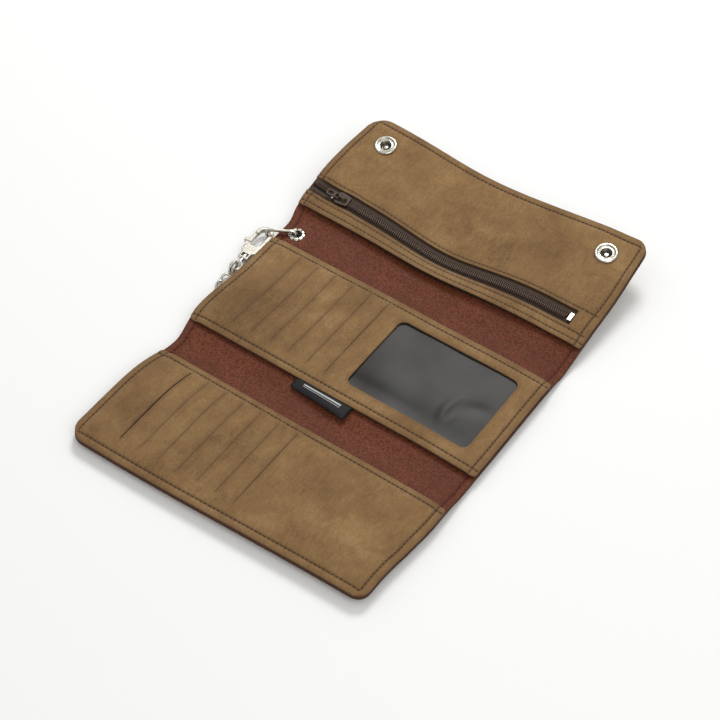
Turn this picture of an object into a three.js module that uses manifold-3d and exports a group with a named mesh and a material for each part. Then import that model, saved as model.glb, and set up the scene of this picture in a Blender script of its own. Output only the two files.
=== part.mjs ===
// A long three-panel chain wallet, lying open with its inside up.
// Millimetres, +X along the long side, +Y from the lower panel to the zip flap, +Z up.
// The origin is on the surface that the wallet rests on, under the middle of the leather.

import * as THREE from 'three';
import { mergeVertices } from 'three/addons/utils/BufferGeometryUtils.js';
import Module from 'manifold-3d';

const wasm = await Module();
wasm.setup();

// ---------------------------------------------------------------- driving dimensions

const WIDTH = 190;
const HALF_WIDTH = WIDTH / 2;
const CORNERS = { lowerLeft: 10.5, lowerRight: 7.5, upperRight: 8.5, upperLeft: 11.5 };
const MIDDLE_EDGE = 39.4; // half the middle panel's depth
const FOLD_GAP = 0.25; // from a fold line to the leather on each side of it

// Heights of the layers above the underside of the outer leather.
const SHELL = [0, 1.5];
const LINING = [1.6, 2.2];
const LEAF_START = 2.3;
const LEAF_THICKNESS = 0.15;
const LEAF_STEP = 0.25;
const ID_BACKING = [3.85, 4.0];
const ID_FILM = [4.1, 4.3];
const FACE = [4.4, 5.6];
const PANEL_THICKNESS = FACE[1];

// The snaps. The studs' flat ends are what the wallet rests on.
const SNAP_X = 75.4;
const STUD_HEIGHT = 3.6;
const REST_HEIGHT = STUD_HEIGHT; // underside of the middle panel's outer leather

// The lower panel folds up and over the middle panel.
const LOWER_FOLD_Y = -52.7;
const LOWER_NEAR = 13.3; // from the fold line to the near edge of the pocket face
const LOWER_FAR = 89.7; // and to the free edge
const FOLDED_GAP = 1.5; // between the two pocket faces when closed
const LOWER_FOLD_HEIGHT = PANEL_THICKNESS + FOLDED_GAP / 2;

// The flap stands up from its fold by its leather's memory, and folds over the lower panel.
const FLAP_FOLD_Y = 60.8;
const FLAP_NEAR = 6.2;
const FLAP_FAR = 86.6;
const FLAP_REST_DEGREES = 10;
const FLAP_FOLD_HEIGHT = 10.1;
const ZIP_BAG = [2.3, 2.5];
const ZIP_TAPE = [3.1, 3.4];
const ZIP_COIL = [3.5, 5.3];
const FLAP_FACE = [3.5, 4.7];
const FLAP_SNAP = 69; // from the fold line to the snap sockets
const STUD_Y = 2 * LOWER_FOLD_Y - (FLAP_FOLD_Y - FLAP_SNAP); // where a closed flap's socket meets it

// The zip.
const ZIP_LINE = 21.3; // from the fold line to the middle of the zip
const ZIP_SLOT_HALF = 5;
const ZIP_SLOT_END = 82.4;
const TAPE_GAP_HALF = 0.9;
const TAPE_WIDTH = 11;
const SLIDER_X = -75.8;
const SLIDER_LENGTH = 8.5;
const PULL_HINGE_X = -77.7;
const PULL_HINGE_HEIGHT = 6.9;
const COIL_START = -76.2;
const BOTTOM_STOP = [79.7, 82.1];

// The slits, the window and the label.
const SLIT_WIDTH = 0.8;
const CARD_WIDTH = 88;
const MIDDLE_SLITS = { count: 6, first: -70.5, step: 12.3, low: -28.7, high: 33.4 };
const LOWER_SLITS = { count: 7, first: -68.5, step: 12.1, low: -129.5, high: -72 };
const WINDOW = { left: 3.8, right: 81.4, half: 28, radius: 4.5 };
const LABEL = { left: -20, right: 17, root: -37.2, tip: -47.5, height: [3.0, 3.8] };

// The eyelet, its link, the clasps and the chain.
const EYELET = { x: -85.3, y: 49.1 };
const LINK = { heading: 210, wire: 1.0, low: 1.2, high: 8.2, inner: -0.35, outer: 17.9 };
const WALLET_CLASP = { x: -101.2, y: 39, heading: 91.5, hookZ: 4.1, eyeZ: 3.5, turnedOver: true };
const BELT_CLASP = { x: -41.5, y: 105, heading: 0, hookZ: 2.1, eyeZ: 3.5, turnedOver: false };
const HOOK_TO_EYE = 28.2;
const RING = { radius: 3.4, wire: 0.9, z: 4.4 };
const CHAIN_WIDTH = 7;
const CHAIN_THICKNESS = 3;
const CHAIN_Z = 1.6;
const CHAIN_ROUTE = [
  [-100.2, 2.8], [-99.4, -4.4], [-96.6, -11.2], [-92.2, -17.4], [-86.8, -23], [-80.4, -28],
  [-72.8, -31.8], [-64, -33], [-54.8, -31], [-46.2, -26.2], [-40.8, -17.8], [-38.8, -8],
  [-40.2, 2], [-44.8, 11], [-51.6, 18.4], [-58.8, 25.2], [-64.6, 33], [-68.4, 42],
  [-71.6, 51], [-77.4, 58.4], [-85.6, 62.4], [-93.2, 67], [-97.6, 74.8], [-97.2, 84.2],
  [-93.4, 93.6], [-86.6, 101.2], [-77.8, 104.9],
];

// The leather's outline is centred on the origin.
const FLAP_TILT = THREE.MathUtils.degToRad(FLAP_REST_DEGREES);
const FLAP_TOP_Y = FLAP_FOLD_Y + FLAP_FAR * Math.cos(FLAP_TILT) + FLAP_FOLD_HEIGHT * Math.sin(FLAP_TILT);
const CENTRE_Y = (FLAP_TOP_Y + LOWER_FOLD_Y - LOWER_FAR) / 2;

// ---------------------------------------------------------------- materials

const leather = new THREE.MeshStandardMaterial({ color: 0x86683f, roughness: 0.9, metalness: 0 });
const liningLeather = new THREE.MeshStandardMaterial({ color: 0x7a4030, roughness: 0.7, metalness: 0 });
const nylon = new THREE.MeshStandardMaterial({ color: 0x2a2622, roughness: 0.8, metalness: 0 });
const zipNylon = new THREE.MeshStandardMaterial({ color: 0x3a2a20, roughness: 0.6, metalness: 0 });
const film = new THREE.MeshStandardMaterial({ color: 0xd8d8d8, roughness: 0.1, metalness: 0 });
const labelCloth = new THREE.MeshStandardMaterial({ color: 0x17171a, roughness: 0.7, metalness: 0 });
const nickel = new THREE.MeshStandardMaterial({ color: 0xd0d0cc, roughness: 0.2, metalness: 1 });

// ---------------------------------------------------------------- shapes

/** A rectangle with its own radius at each corner: [left low, right low, right high, left high]. */
function roundedRectangle(left, right, low, high, radii) {
  const [a, b, c, d] = radii;
  const shape = new THREE.Shape();
  shape.moveTo(left + a, low);
  shape.lineTo(right - b, low);
  shape.absarc(right - b, low + b, b, -Math.PI / 2, 0, false);
  shape.lineTo(right, high - c);
  shape.absarc(right - c, high - c, c, 0, Math.PI / 2, false);
  shape.lineTo(left + d, high);
  shape.absarc(left + d, high - d, d, Math.PI / 2, Math.PI, false);
  shape.lineTo(left, low + a);
  shape.absarc(left + a, low + a, a, Math.PI, 1.5 * Math.PI, false);
  return shape;
}

function circleHole(x, y, radius) {
  const hole = new THREE.Path();
  hole.absarc(x, y, radius, 0, 2 * Math.PI, true);
  return hole;
}

/** The shape through points given as [x, y] pairs. */
function polygon(points) {
  return new THREE.Shape(points.map(([x, y]) => new THREE.Vector2(x, y)));
}

/** A shape given a thickness, from a low to a high z. */
function slab(shape, [low, high], curveSegments = 8) {
  const geometry = new THREE.ExtrudeGeometry(shape, { depth: high - low, bevelEnabled: false, curveSegments });
  return geometry.translate(0, 0, low);
}

/** A slab centred on z = 0 with rounded edges; the edges' radius is inside the outline. */
function softSlab(shape, thickness, edge, curveSegments = 10) {
  const geometry = new THREE.ExtrudeGeometry(shape, {
    depth: thickness - 2 * edge,
    bevelThickness: edge,
    bevelSize: edge,
    bevelOffset: -edge,
    bevelSegments: 2,
    curveSegments,
  });
  return geometry.translate(0, 0, edge - thickness / 2);
}

/** A turned piece about z, from [radius, z] pairs, lowest first, closed on the axis or on itself. */
function turned(profile, segments = 32) {
  const points = profile.map(([radius, z]) => new THREE.Vector2(radius, z));
  return new THREE.LatheGeometry(points, segments).rotateX(Math.PI / 2);
}

function toSolid(geometry) {
  const bare = geometry.clone();
  bare.deleteAttribute('normal');
  bare.deleteAttribute('uv');
  const merged = mergeVertices(bare, 1e-4);
  const vertProperties = new Float32Array(merged.attributes.position.array);
  const triVerts = new Uint32Array(merged.index.array);
  return new wasm.Manifold(new wasm.Mesh({ numProp: 3, vertProperties, triVerts }));
}

function toGeometry(solid) {
  const { vertProperties, triVerts } = solid.getMesh();
  const geometry = new THREE.BufferGeometry();
  geometry.setAttribute('position', new THREE.BufferAttribute(new Float32Array(vertProperties), 3));
  geometry.setIndex(new THREE.BufferAttribute(new Uint32Array(triVerts), 1));
  geometry.computeVertexNormals();
  return geometry;
}

function cut(base, ...tools) {
  return toGeometry(tools.reduce((solid, tool) => solid.subtract(toSolid(tool)), toSolid(base)));
}

function join(base, ...others) {
  return toGeometry(others.reduce((solid, other) => solid.add(toSolid(other)), toSolid(base)));
}

function named(name, geometry, material) {
  const mesh = new THREE.Mesh(geometry, material);
  mesh.name = name;
  return mesh;
}

function sheet(name, shape, heights, material) {
  return named(name, slab(shape, heights), material);
}

// ---------------------------------------------------------------- panels

/** Blades that cut a pocket face's slits, which run along Y. */
function slitBlades({ count, first, step, low, high }) {
  const blades = [];
  for (let i = 0; i < count; i += 1) {
    const blade = new THREE.BoxGeometry(SLIT_WIDTH, high - low, 4);
    blades.push(blade.translate(first + i * step, (low + high) / 2, (FACE[0] + FACE[1]) / 2));
  }
  return blades;
}

/** One lining leaf for each slit: it starts left of the slit and is as long as a card. */
function cardLeaves(prefix, slits, low, high) {
  const leaves = [];
  for (let i = 0; i < slits.count; i += 1) {
    const left = slits.first + i * slits.step - 4;
    const right = Math.min(left + CARD_WIDTH + 4, HALF_WIDTH - 3);
    const z = LEAF_START + i * LEAF_STEP;
    const shape = roundedRectangle(left, right, low, high, [1, 1, 1, 1]);
    leaves.push(sheet(`${prefix}_card_leaf_${i + 1}`, shape, [z, z + LEAF_THICKNESS], nylon));
  }
  return leaves;
}

function makeMiddle() {
  const group = new THREE.Group();
  group.position.z = REST_HEIGHT;
  const low = LOWER_FOLD_Y + FOLD_GAP;
  const high = FLAP_FOLD_Y - FOLD_GAP;
  const square = [0.5, 0.5, 0.5, 0.5];

  const shell = roundedRectangle(-HALF_WIDTH, HALF_WIDTH, low, high, square);
  shell.holes.push(circleHole(EYELET.x, EYELET.y, 3.4));
  group.add(sheet('middle_shell', shell, SHELL, leather));

  const lining = roundedRectangle(-HALF_WIDTH + 0.3, HALF_WIDTH - 0.3, low, high, square);
  lining.holes.push(circleHole(EYELET.x, EYELET.y, 3.4));
  group.add(sheet('middle_lining', lining, LINING, liningLeather));

  group.add(...cardLeaves('middle', MIDDLE_SLITS, -36, 37));

  const { left, right, half, radius } = WINDOW;
  const backing = roundedRectangle(left - 5, right + 5, -half - 5, half + 5, [1, 1, 1, 1]);
  group.add(sheet('id_backing', backing, ID_BACKING, nylon));
  const pane = roundedRectangle(left - 4, right + 4, -half - 4, half + 4, [1, 1, 1, 1]);
  group.add(sheet('id_window', pane, ID_FILM, film));

  const face = roundedRectangle(-HALF_WIDTH + 0.2, HALF_WIDTH - 0.2, -MIDDLE_EDGE, MIDDLE_EDGE, [2, 2, 2, 2]);
  const opening = slab(roundedRectangle(left, right, -half, half, [radius, radius, radius, radius]), [3, 7]);
  const cutFace = cut(slab(face, FACE), opening, ...slitBlades(MIDDLE_SLITS));
  group.add(named('middle_pocket_face', cutFace, leather));

  const label = roundedRectangle(LABEL.left, LABEL.right, LABEL.tip, LABEL.root, [0.4, 0.4, 0.4, 0.4]);
  group.add(sheet('label_tag', label, LABEL.height, labelCloth));

  group.add(makeEyelet());
  return group;
}

/** A tubular eyelet: a flange under the leather and a rim that has split into petals above it. */
function makeEyelet() {
  const body = turned([
    [2.75, -0.5], [3.3, -0.7], [4.9, -0.7], [5.0, -0.4], [4.9, -0.15], [3.25, -0.15],
    [3.15, 0], [3.15, 2.3], [4.9, 2.3], [5.25, 2.5], [4.7, 3.0], [3.6, 3.2], [2.9, 2.9], [2.75, 2.4], [2.75, -0.5],
  ], 36);
  const notches = [];
  const petals = 9;
  for (let i = 0; i < petals; i += 1) {
    const notch = new THREE.BoxGeometry(1.6, 0.7, 1.2);
    notch.translate(5.1, 0, 2.9);
    notch.rotateZ((i * 2 * Math.PI) / petals);
    notches.push(notch);
  }
  const eyelet = named('eyelet', cut(body, ...notches), nickel);
  eyelet.position.set(EYELET.x, EYELET.y, 0);
  return eyelet;
}

function makeLower() {
  const group = new THREE.Group();
  group.position.z = REST_HEIGHT;
  const free = LOWER_FOLD_Y - LOWER_FAR;
  const near = LOWER_FOLD_Y - FOLD_GAP;
  const radii = [CORNERS.lowerLeft, CORNERS.lowerRight, 0.5, 0.5];

  const shell = roundedRectangle(-HALF_WIDTH, HALF_WIDTH, free, near, radii);
  shell.holes.push(circleHole(-SNAP_X, STUD_Y, 1.7), circleHole(SNAP_X, STUD_Y, 1.7));
  const recess = (x) => new THREE.CylinderGeometry(4.5, 4.5, 1.2, 24).rotateX(Math.PI / 2).translate(x, STUD_Y, 1.6);
  const recessed = cut(slab(shell, SHELL), recess(-SNAP_X), recess(SNAP_X));
  group.add(named('lower_shell', recessed, leather));

  const lining = roundedRectangle(-HALF_WIDTH + 0.3, HALF_WIDTH - 0.3, free + 0.3, near, radii);
  group.add(sheet('lower_lining', lining, LINING, liningLeather));

  group.add(...cardLeaves('lower', LOWER_SLITS, free + 4, LOWER_FOLD_Y - LOWER_NEAR - 3));

  const top = LOWER_FOLD_Y - LOWER_NEAR;
  const faceRadii = [CORNERS.lowerLeft, CORNERS.lowerRight, 2, 2];
  const face = roundedRectangle(-HALF_WIDTH + 0.2, HALF_WIDTH - 0.2, free + 0.2, top, faceRadii);
  group.add(named('lower_pocket_face', cut(slab(face, FACE), ...slitBlades(LOWER_SLITS)), leather));

  for (const [side, x] of [['left', -SNAP_X], ['right', SNAP_X]]) {
    group.add(...makeStud(side, x));
  }
  return group;
}

/** A snap stud under the lower panel, and the post that rivets it through the leather. */
function makeStud(side, x) {
  const stud = turned([
    [1.7, -0.1], [1.7, -2.4], [0, -2.4], [0, -STUD_HEIGHT], [2.0, -STUD_HEIGHT], [2.8, -3.2], [2.9, -2.6],
    [2.5, -1.9], [2.5, -1.1], [3.2, -0.9], [5.0, -0.8], [5.7, -0.45], [5.6, -0.1], [1.7, -0.1],
  ], 32);
  const post = turned([
    [0, -2.1], [1.2, -2.1], [1.3, -1.9], [1.3, 1.1], [4.2, 1.1], [4.2, 1.45], [0, 1.45],
  ], 28);
  const meshes = [named(`snap_stud_${side}`, stud, nickel), named(`snap_post_${side}`, post, nickel)];
  for (const mesh of meshes) {
    mesh.position.set(x, STUD_Y, 0);
  }
  return meshes;
}

// ---------------------------------------------------------------- flap

/** Everything on the flap, in a frame at its fold axis: y runs from the fold to the free edge. */
function makeFlap() {
  const hinge = new THREE.Group();
  hinge.position.set(0, FLAP_FOLD_Y, REST_HEIGHT + FLAP_FOLD_HEIGHT);
  hinge.rotation.x = FLAP_TILT;
  const group = new THREE.Group();
  group.position.z = -FLAP_FOLD_HEIGHT;
  hinge.add(group);
  const radii = [0.5, 0.5, CORNERS.upperRight, CORNERS.upperLeft];

  const shell = roundedRectangle(-HALF_WIDTH, HALF_WIDTH, FOLD_GAP, FLAP_FAR, radii);
  shell.holes.push(circleHole(-SNAP_X, FLAP_SNAP, 1.7), circleHole(SNAP_X, FLAP_SNAP, 1.7));
  group.add(sheet('flap_shell', shell, SHELL, leather));

  const lining = roundedRectangle(-HALF_WIDTH + 0.3, HALF_WIDTH - 0.3, FOLD_GAP, FLAP_FAR - 0.3, radii);
  lining.holes.push(circleHole(-SNAP_X, FLAP_SNAP, 1.7), circleHole(SNAP_X, FLAP_SNAP, 1.7));
  group.add(sheet('flap_lining', lining, LINING, liningLeather));

  const bag = roundedRectangle(-HALF_WIDTH + 2.5, HALF_WIDTH - 2.5, FLAP_NEAR + 1, FLAP_SNAP - 6, [1, 1, 1, 1]);
  group.add(sheet('zip_pocket_bag', bag, ZIP_BAG, nylon));

  group.add(named('flap_pocket_face', slab(flapFaceShape(), FLAP_FACE), leather));
  group.add(...makeZip());
  for (const [side, x] of [['left', -SNAP_X], ['right', SNAP_X]]) {
    group.add(...makeSocket(side, x));
  }
  return hinge;
}

/** The flap's pocket face: a slot for the zip runs in from its left edge. */
function flapFaceShape() {
  const left = -HALF_WIDTH + 0.2;
  const right = HALF_WIDTH - 0.2;
  const top = FLAP_FAR - 0.2;
  const upperRight = CORNERS.upperRight;
  const upperLeft = CORNERS.upperLeft;
  const slotLow = ZIP_LINE - ZIP_SLOT_HALF;
  const slotHigh = ZIP_LINE + ZIP_SLOT_HALF;
  const shape = new THREE.Shape();
  shape.moveTo(left, FLAP_NEAR);
  shape.lineTo(right, FLAP_NEAR);
  shape.lineTo(right, top - upperRight);
  shape.absarc(right - upperRight, top - upperRight, upperRight, 0, Math.PI / 2, false);
  shape.lineTo(left + upperLeft, top);
  shape.absarc(left + upperLeft, top - upperLeft, upperLeft, Math.PI / 2, Math.PI, false);
  shape.lineTo(left, slotHigh);
  shape.lineTo(ZIP_SLOT_END, slotHigh);
  shape.lineTo(ZIP_SLOT_END, slotLow);
  shape.lineTo(left, slotLow);
  shape.holes.push(circleHole(-SNAP_X, FLAP_SNAP, 4.5), circleHole(SNAP_X, FLAP_SNAP, 4.5));
  return shape;
}

function makeZip() {
  const pieces = [];
  const tapeLeft = -HALF_WIDTH + 0.6;
  const tapeRight = ZIP_SLOT_END + 4;
  for (const [side, sign] of [['upper', 1], ['lower', -1]]) {
    const across = (a, b) => [ZIP_LINE + sign * a, ZIP_LINE + sign * b].sort((p, q) => p - q);
    const strip = (left, right, a, b) => roundedRectangle(left, right, ...across(a, b), [0.2, 0.2, 0.2, 0.2]);
    const tape = strip(tapeLeft, tapeRight, TAPE_GAP_HALF, TAPE_GAP_HALF + TAPE_WIDTH);
    pieces.push(sheet(`zip_tape_${side}`, tape, ZIP_TAPE, zipNylon));
    const coil = strip(COIL_START, BOTTOM_STOP[0] - 0.3, 0.1, 2.3);
    pieces.push(sheet(`zip_coil_${side}`, coil, ZIP_COIL, zipNylon));
    const stop = strip(-83.2, -81.6, 1.0, 2.4);
    pieces.push(sheet(`zip_top_stop_${side}`, stop, [ZIP_COIL[0], 5], nickel));
  }
  const bottom = roundedRectangle(BOTTOM_STOP[0], BOTTOM_STOP[1], ZIP_LINE - 2.6, ZIP_LINE + 2.6, [0.3, 0.3, 0.3, 0.3]);
  pieces.push(sheet('zip_bottom_stop', bottom, ZIP_COIL, nickel));
  pieces.push(makeSlider(), makePull());
  return pieces;
}

/** The slider: a plate above the coils, one under the tapes, the wedge that joins them, and a bridge. */
function makeSlider() {
  const half = SLIDER_LENGTH / 2;
  const plan = polygon([
    [-half, -3.4], [-half + 1.6, -4.2], [half - 2, -3.6], [half, -3.2],
    [half, 3.2], [half - 2, 3.6], [-half + 1.6, 4.2], [-half, 3.4],
  ]);
  const upper = slab(plan, [5.45, 6.25]);
  const lower = slab(plan, [2.6, 3.0]);
  const wedge = slab(polygon([[-half + 0.4, 0], [-half + 1.6, -0.6], [-1, 0], [-half + 1.6, 0.6]]), [2.8, 5.8]);
  const rail = (v) => slab(roundedRectangle(-2, half - 0.2, v - 0.3, v + 0.3, [0.1, 0.1, 0.1, 0.1]), [4.2, 5.6]);
  const arch = slab(polygon([
    [-3.4, 6.1], [-3.4, 7.5], [-2.6, 8.3], [1.6, 8.3], [2.4, 7.5], [2.4, 6.1],
    [1.5, 6.1], [1.5, 7.2], [1.2, 7.5], [-2.2, 7.5], [-2.5, 7.2], [-2.5, 6.1],
  ]), [-0.7, 0.7]).rotateX(Math.PI / 2);
  const slider = named('zip_slider', join(upper, lower, wedge, rail(3.15), rail(-3.15), arch), nickel);
  slider.position.set(SLIDER_X, ZIP_LINE, 0);
  return slider;
}

/** The pull: a loop through the slider's bridge and a flat ring that lies towards the left edge. */
function makePull() {
  const plate = roundedRectangle(-9.8, -3.0, -2.2, 2.2, [2.1, 0.8, 0.8, 2.1]);
  plate.holes.push(roundedRectangle(-8.4, -5.0, -0.95, 0.95, [0.9, 0.9, 0.9, 0.9]));
  const body = softSlab(plate, 1.0, 0.25, 6);
  const pin = new THREE.CylinderGeometry(0.45, 0.45, 3.6, 12);
  const arm = (v) => new THREE.BoxGeometry(3.6, 0.6, 0.8).translate(-1.6, v, 0);
  const pull = named('zip_pull', join(body, pin, arm(1.5), arm(-1.5)), zipNylon);
  pull.position.set(PULL_HINGE_X, ZIP_LINE, PULL_HINGE_HEIGHT);
  return pull;
}

/** A snap socket on the flap's inside, and the cap outside whose post rivets it. */
function makeSocket(side, x) {
  const socket = turned([
    [1.75, 2.7], [4.1, 2.7], [4.1, 4.8], [6.3, 4.8], [7.0, 5.1], [6.8, 5.6], [6.2, 5.85], [5.5, 5.6],
    [4.9, 5.7], [4.4, 6.1], [3.8, 6.1], [3.4, 5.7], [3.3, 5.2], [3.3, 3.1], [1.75, 3.1], [1.75, 2.7],
  ], 36);
  const cap = turned([
    [0, -2.0], [3.5, -1.8], [5.8, -1.2], [6.9, -0.5], [6.9, -0.1], [1.3, -0.1], [1.3, 3.3], [0, 3.3],
  ], 32);
  const meshes = [named(`snap_socket_${side}`, socket, nickel), named(`snap_cap_${side}`, cap, nickel)];
  for (const mesh of meshes) {
    mesh.position.set(x, FLAP_SNAP, 0);
  }
  return meshes;
}

// ---------------------------------------------------------------- chain

/** A long wire link that stands on edge, through the eyelet and round the leather's left edge. */
function makeLink() {
  const bend = (LINK.high - LINK.low) / 2;
  const middle = (LINK.high + LINK.low) / 2;
  const near = LINK.inner + bend;
  const far = LINK.outer - bend;
  const points = [];
  const steps = 8;
  const sides = 4;
  for (const [centre, other, start] of [[near, far, Math.PI / 2], [far, near, -Math.PI / 2]]) {
    for (let i = 0; i <= steps; i += 1) {
      const angle = start + (i * Math.PI) / steps;
      points.push(new THREE.Vector3(centre + bend * Math.cos(angle), 0, middle + bend * Math.sin(angle)));
    }
    for (let i = 1; i < sides; i += 1) {
      const x = THREE.MathUtils.lerp(centre, other, i / sides);
      points.push(new THREE.Vector3(x, 0, middle - bend * Math.sin(start)));
    }
  }
  const curve = new THREE.CatmullRomCurve3(points, true, 'centripetal');
  const link = named('eyelet_link', new THREE.TubeGeometry(curve, 48, LINK.wire, 10, true), nickel);
  link.position.set(EYELET.x, EYELET.y, 0);
  link.rotation.z = THREE.MathUtils.degToRad(LINK.heading);
  return link;
}

// A clasp lies in its own frame: +y from the swivel eye to the hook's top, x across, z its thickness.
const CLASP_THICKNESS = 3;
const HOOK_CENTRE = 18;
const EYE_CENTRE = HOOK_CENTRE - HOOK_TO_EYE;
const TRIGGER_PIVOT = [3.4, 4.2];

function claspFrame() {
  const outline = new THREE.Shape();
  outline.moveTo(-3.2, -4.5);
  outline.lineTo(3.2, -4.5);
  outline.lineTo(3.2, 0);
  outline.lineTo(5.0, 1.6);
  outline.lineTo(5.0, 6.2);
  outline.lineTo(3.1, 8.2);
  outline.lineTo(1.8, 7.0);
  outline.lineTo(-1.8, 7.0);
  outline.lineTo(-3.1, 9.0);
  outline.lineTo(-3.1, HOOK_CENTRE);
  outline.absarc(0, HOOK_CENTRE, 3.1, Math.PI, 0, true);
  outline.lineTo(3.1, 16.2);
  outline.lineTo(5.5, 16.2);
  outline.lineTo(5.5, HOOK_CENTRE);
  outline.absarc(0, HOOK_CENTRE, 5.5, 0, Math.PI, false);
  outline.lineTo(-5.5, 8.0);
  outline.lineTo(-5.0, 1.6);
  outline.lineTo(-3.2, 0);
  const body = softSlab(outline, CLASP_THICKNESS, 0.5);
  const slot = new THREE.BoxGeometry(4.6, 6.8, 1.9).translate(3.7, 5.6, 0);
  const pinHole = new THREE.CylinderGeometry(0.85, 0.85, 5, 16).rotateX(Math.PI / 2).translate(...TRIGGER_PIVOT, 0);
  const headRoom = new THREE.BoxGeometry(4.2, 2.8, 5).translate(0, -1.8, 0);
  const swivelHole = new THREE.CylinderGeometry(1.3, 1.3, 4, 16).translate(0, -4.5, 0);
  return cut(body, slot, pinHole, headRoom, swivelHole);
}

function claspTrigger() {
  const root = slab(polygon([
    [2.2, 3.2], [2.9, 2.5], [4.4, 2.6], [5.6, 4.6], [6.0, 8.0], [5.6, 9.6], [3.3, 9.6], [3.1, 7.6], [2.4, 5.2],
  ]), [-0.7, 0.7]);
  const arm = softSlab(polygon([
    [3.3, 8.6], [5.6, 8.6], [7.4, 7.9], [8.0, 8.8], [7.6, 9.9], [6.0, 10.9], [5.4, 12.4], [5.4, 15.9], [3.3, 15.9],
  ]), 2.4, 0.35);
  const hole = new THREE.CylinderGeometry(0.85, 0.85, 5, 16).rotateX(Math.PI / 2).translate(...TRIGGER_PIVOT, 0);
  return cut(join(root, arm), hole);
}

function claspSwivel() {
  const eye = new THREE.TorusGeometry(3.2, 0.95, 10, 28).translate(0, EYE_CENTRE, 0);
  const stem = new THREE.CylinderGeometry(1.15, 1.15, 4.2, 16).translate(0, -4.8, 0);
  const head = new THREE.CylinderGeometry(1.4, 1.4, 1.5, 16).translate(0, -2.1, 0);
  return join(eye, stem, head);
}

function claspSpring() {
  return slab(polygon([[1.5, 2.5], [1.72, 2.5], [2.15, 4.2], [1.72, 6.6], [1.5, 6.6], [1.9, 4.2]]), [-0.55, 0.55]);
}

/** A trigger clasp. Its hook's centre is at (x, y), and heading is its long axis's angle from +X. */
function makeClasp(prefix, { x, y, heading, hookZ, eyeZ, turnedOver }) {
  const parts = [
    named(`${prefix}_clasp_frame`, claspFrame(), nickel),
    named(`${prefix}_clasp_trigger`, claspTrigger(), nickel),
    named(`${prefix}_clasp_pin`, new THREE.CylinderGeometry(0.75, 0.75, 2.9, 16).rotateX(Math.PI / 2)
      .translate(...TRIGGER_PIVOT, 0), nickel),
    named(`${prefix}_clasp_spring`, claspSpring(), nickel),
    named(`${prefix}_clasp_swivel`, claspSwivel(), nickel),
  ];
  const lying = new THREE.Group();
  lying.position.y = -HOOK_CENTRE;
  lying.rotation.y = turnedOver ? Math.PI : 0;
  lying.add(...parts);
  const pitched = new THREE.Group();
  pitched.rotation.x = Math.asin((hookZ - eyeZ) / HOOK_TO_EYE);
  pitched.add(lying);
  const group = new THREE.Group();
  group.position.set(x, y, hookZ);
  group.rotation.z = THREE.MathUtils.degToRad(heading - 90);
  group.add(pitched);
  return group;
}

/** A ring that stands on edge and joins a clasp's swivel eye to the chain. */
function makeRing(name, clasp) {
  const angle = THREE.MathUtils.degToRad(clasp.heading);
  const reach = HOOK_TO_EYE + 3.2;
  const ring = named(name, new THREE.TorusGeometry(RING.radius, RING.wire, 10, 28), nickel);
  ring.geometry.rotateX(Math.PI / 2);
  ring.position.set(clasp.x - reach * Math.cos(angle), clasp.y - reach * Math.sin(angle), RING.z);
  ring.rotation.z = angle;
  return ring;
}

/** The chain, as one flat cord along its route on the surface that the wallet lies on. */
function makeChain() {
  const points = CHAIN_ROUTE.map(([x, y]) => new THREE.Vector3(x, y, CHAIN_Z));
  const route = new THREE.CatmullRomCurve3(points, false, 'centripetal');
  const section = new THREE.Shape();
  const sides = 8;
  for (let i = 0; i < sides; i += 1) {
    const angle = ((i + 0.5) * 2 * Math.PI) / sides;
    const stretch = 1 / Math.cos(Math.PI / sides);
    const across = (CHAIN_THICKNESS / 2) * stretch * Math.cos(angle);
    const along = (CHAIN_WIDTH / 2) * stretch * Math.sin(angle);
    if (i === 0) {
      section.moveTo(across, along);
    } else {
      section.lineTo(across, along);
    }
  }
  const tube = new THREE.ExtrudeGeometry(section, { steps: 60, extrudePath: route, bevelEnabled: false });
  return named('chain', tube, nickel);
}

// ---------------------------------------------------------------- assembly

const wallet = new THREE.Group();
const centred = new THREE.Group();
centred.position.y = -CENTRE_Y;
centred.add(makeMiddle(), makeLower(), makeFlap());
centred.add(makeLink(), makeClasp('wallet', WALLET_CLASP), makeRing('wallet_chain_ring', WALLET_CLASP));
centred.add(makeChain(), makeRing('belt_chain_ring', BELT_CLASP), makeClasp('belt', BELT_CLASP));
wallet.add(centred);

export default wallet;
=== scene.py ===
"""A long leather chain wallet lying open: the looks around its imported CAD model.

Leather, lining, pocket linings and zip tapes are built flat, in sheet coordinates in millimetres, and laid in
place by one function, so that their layers follow each other. x is across the wallet, u runs up the hide from
the lower panel to the flap's free edge, and w is the height above the hide's outer face.
"""

import math

import bpy
import numpy as np
from mathutils import Matrix, Vector


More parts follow.
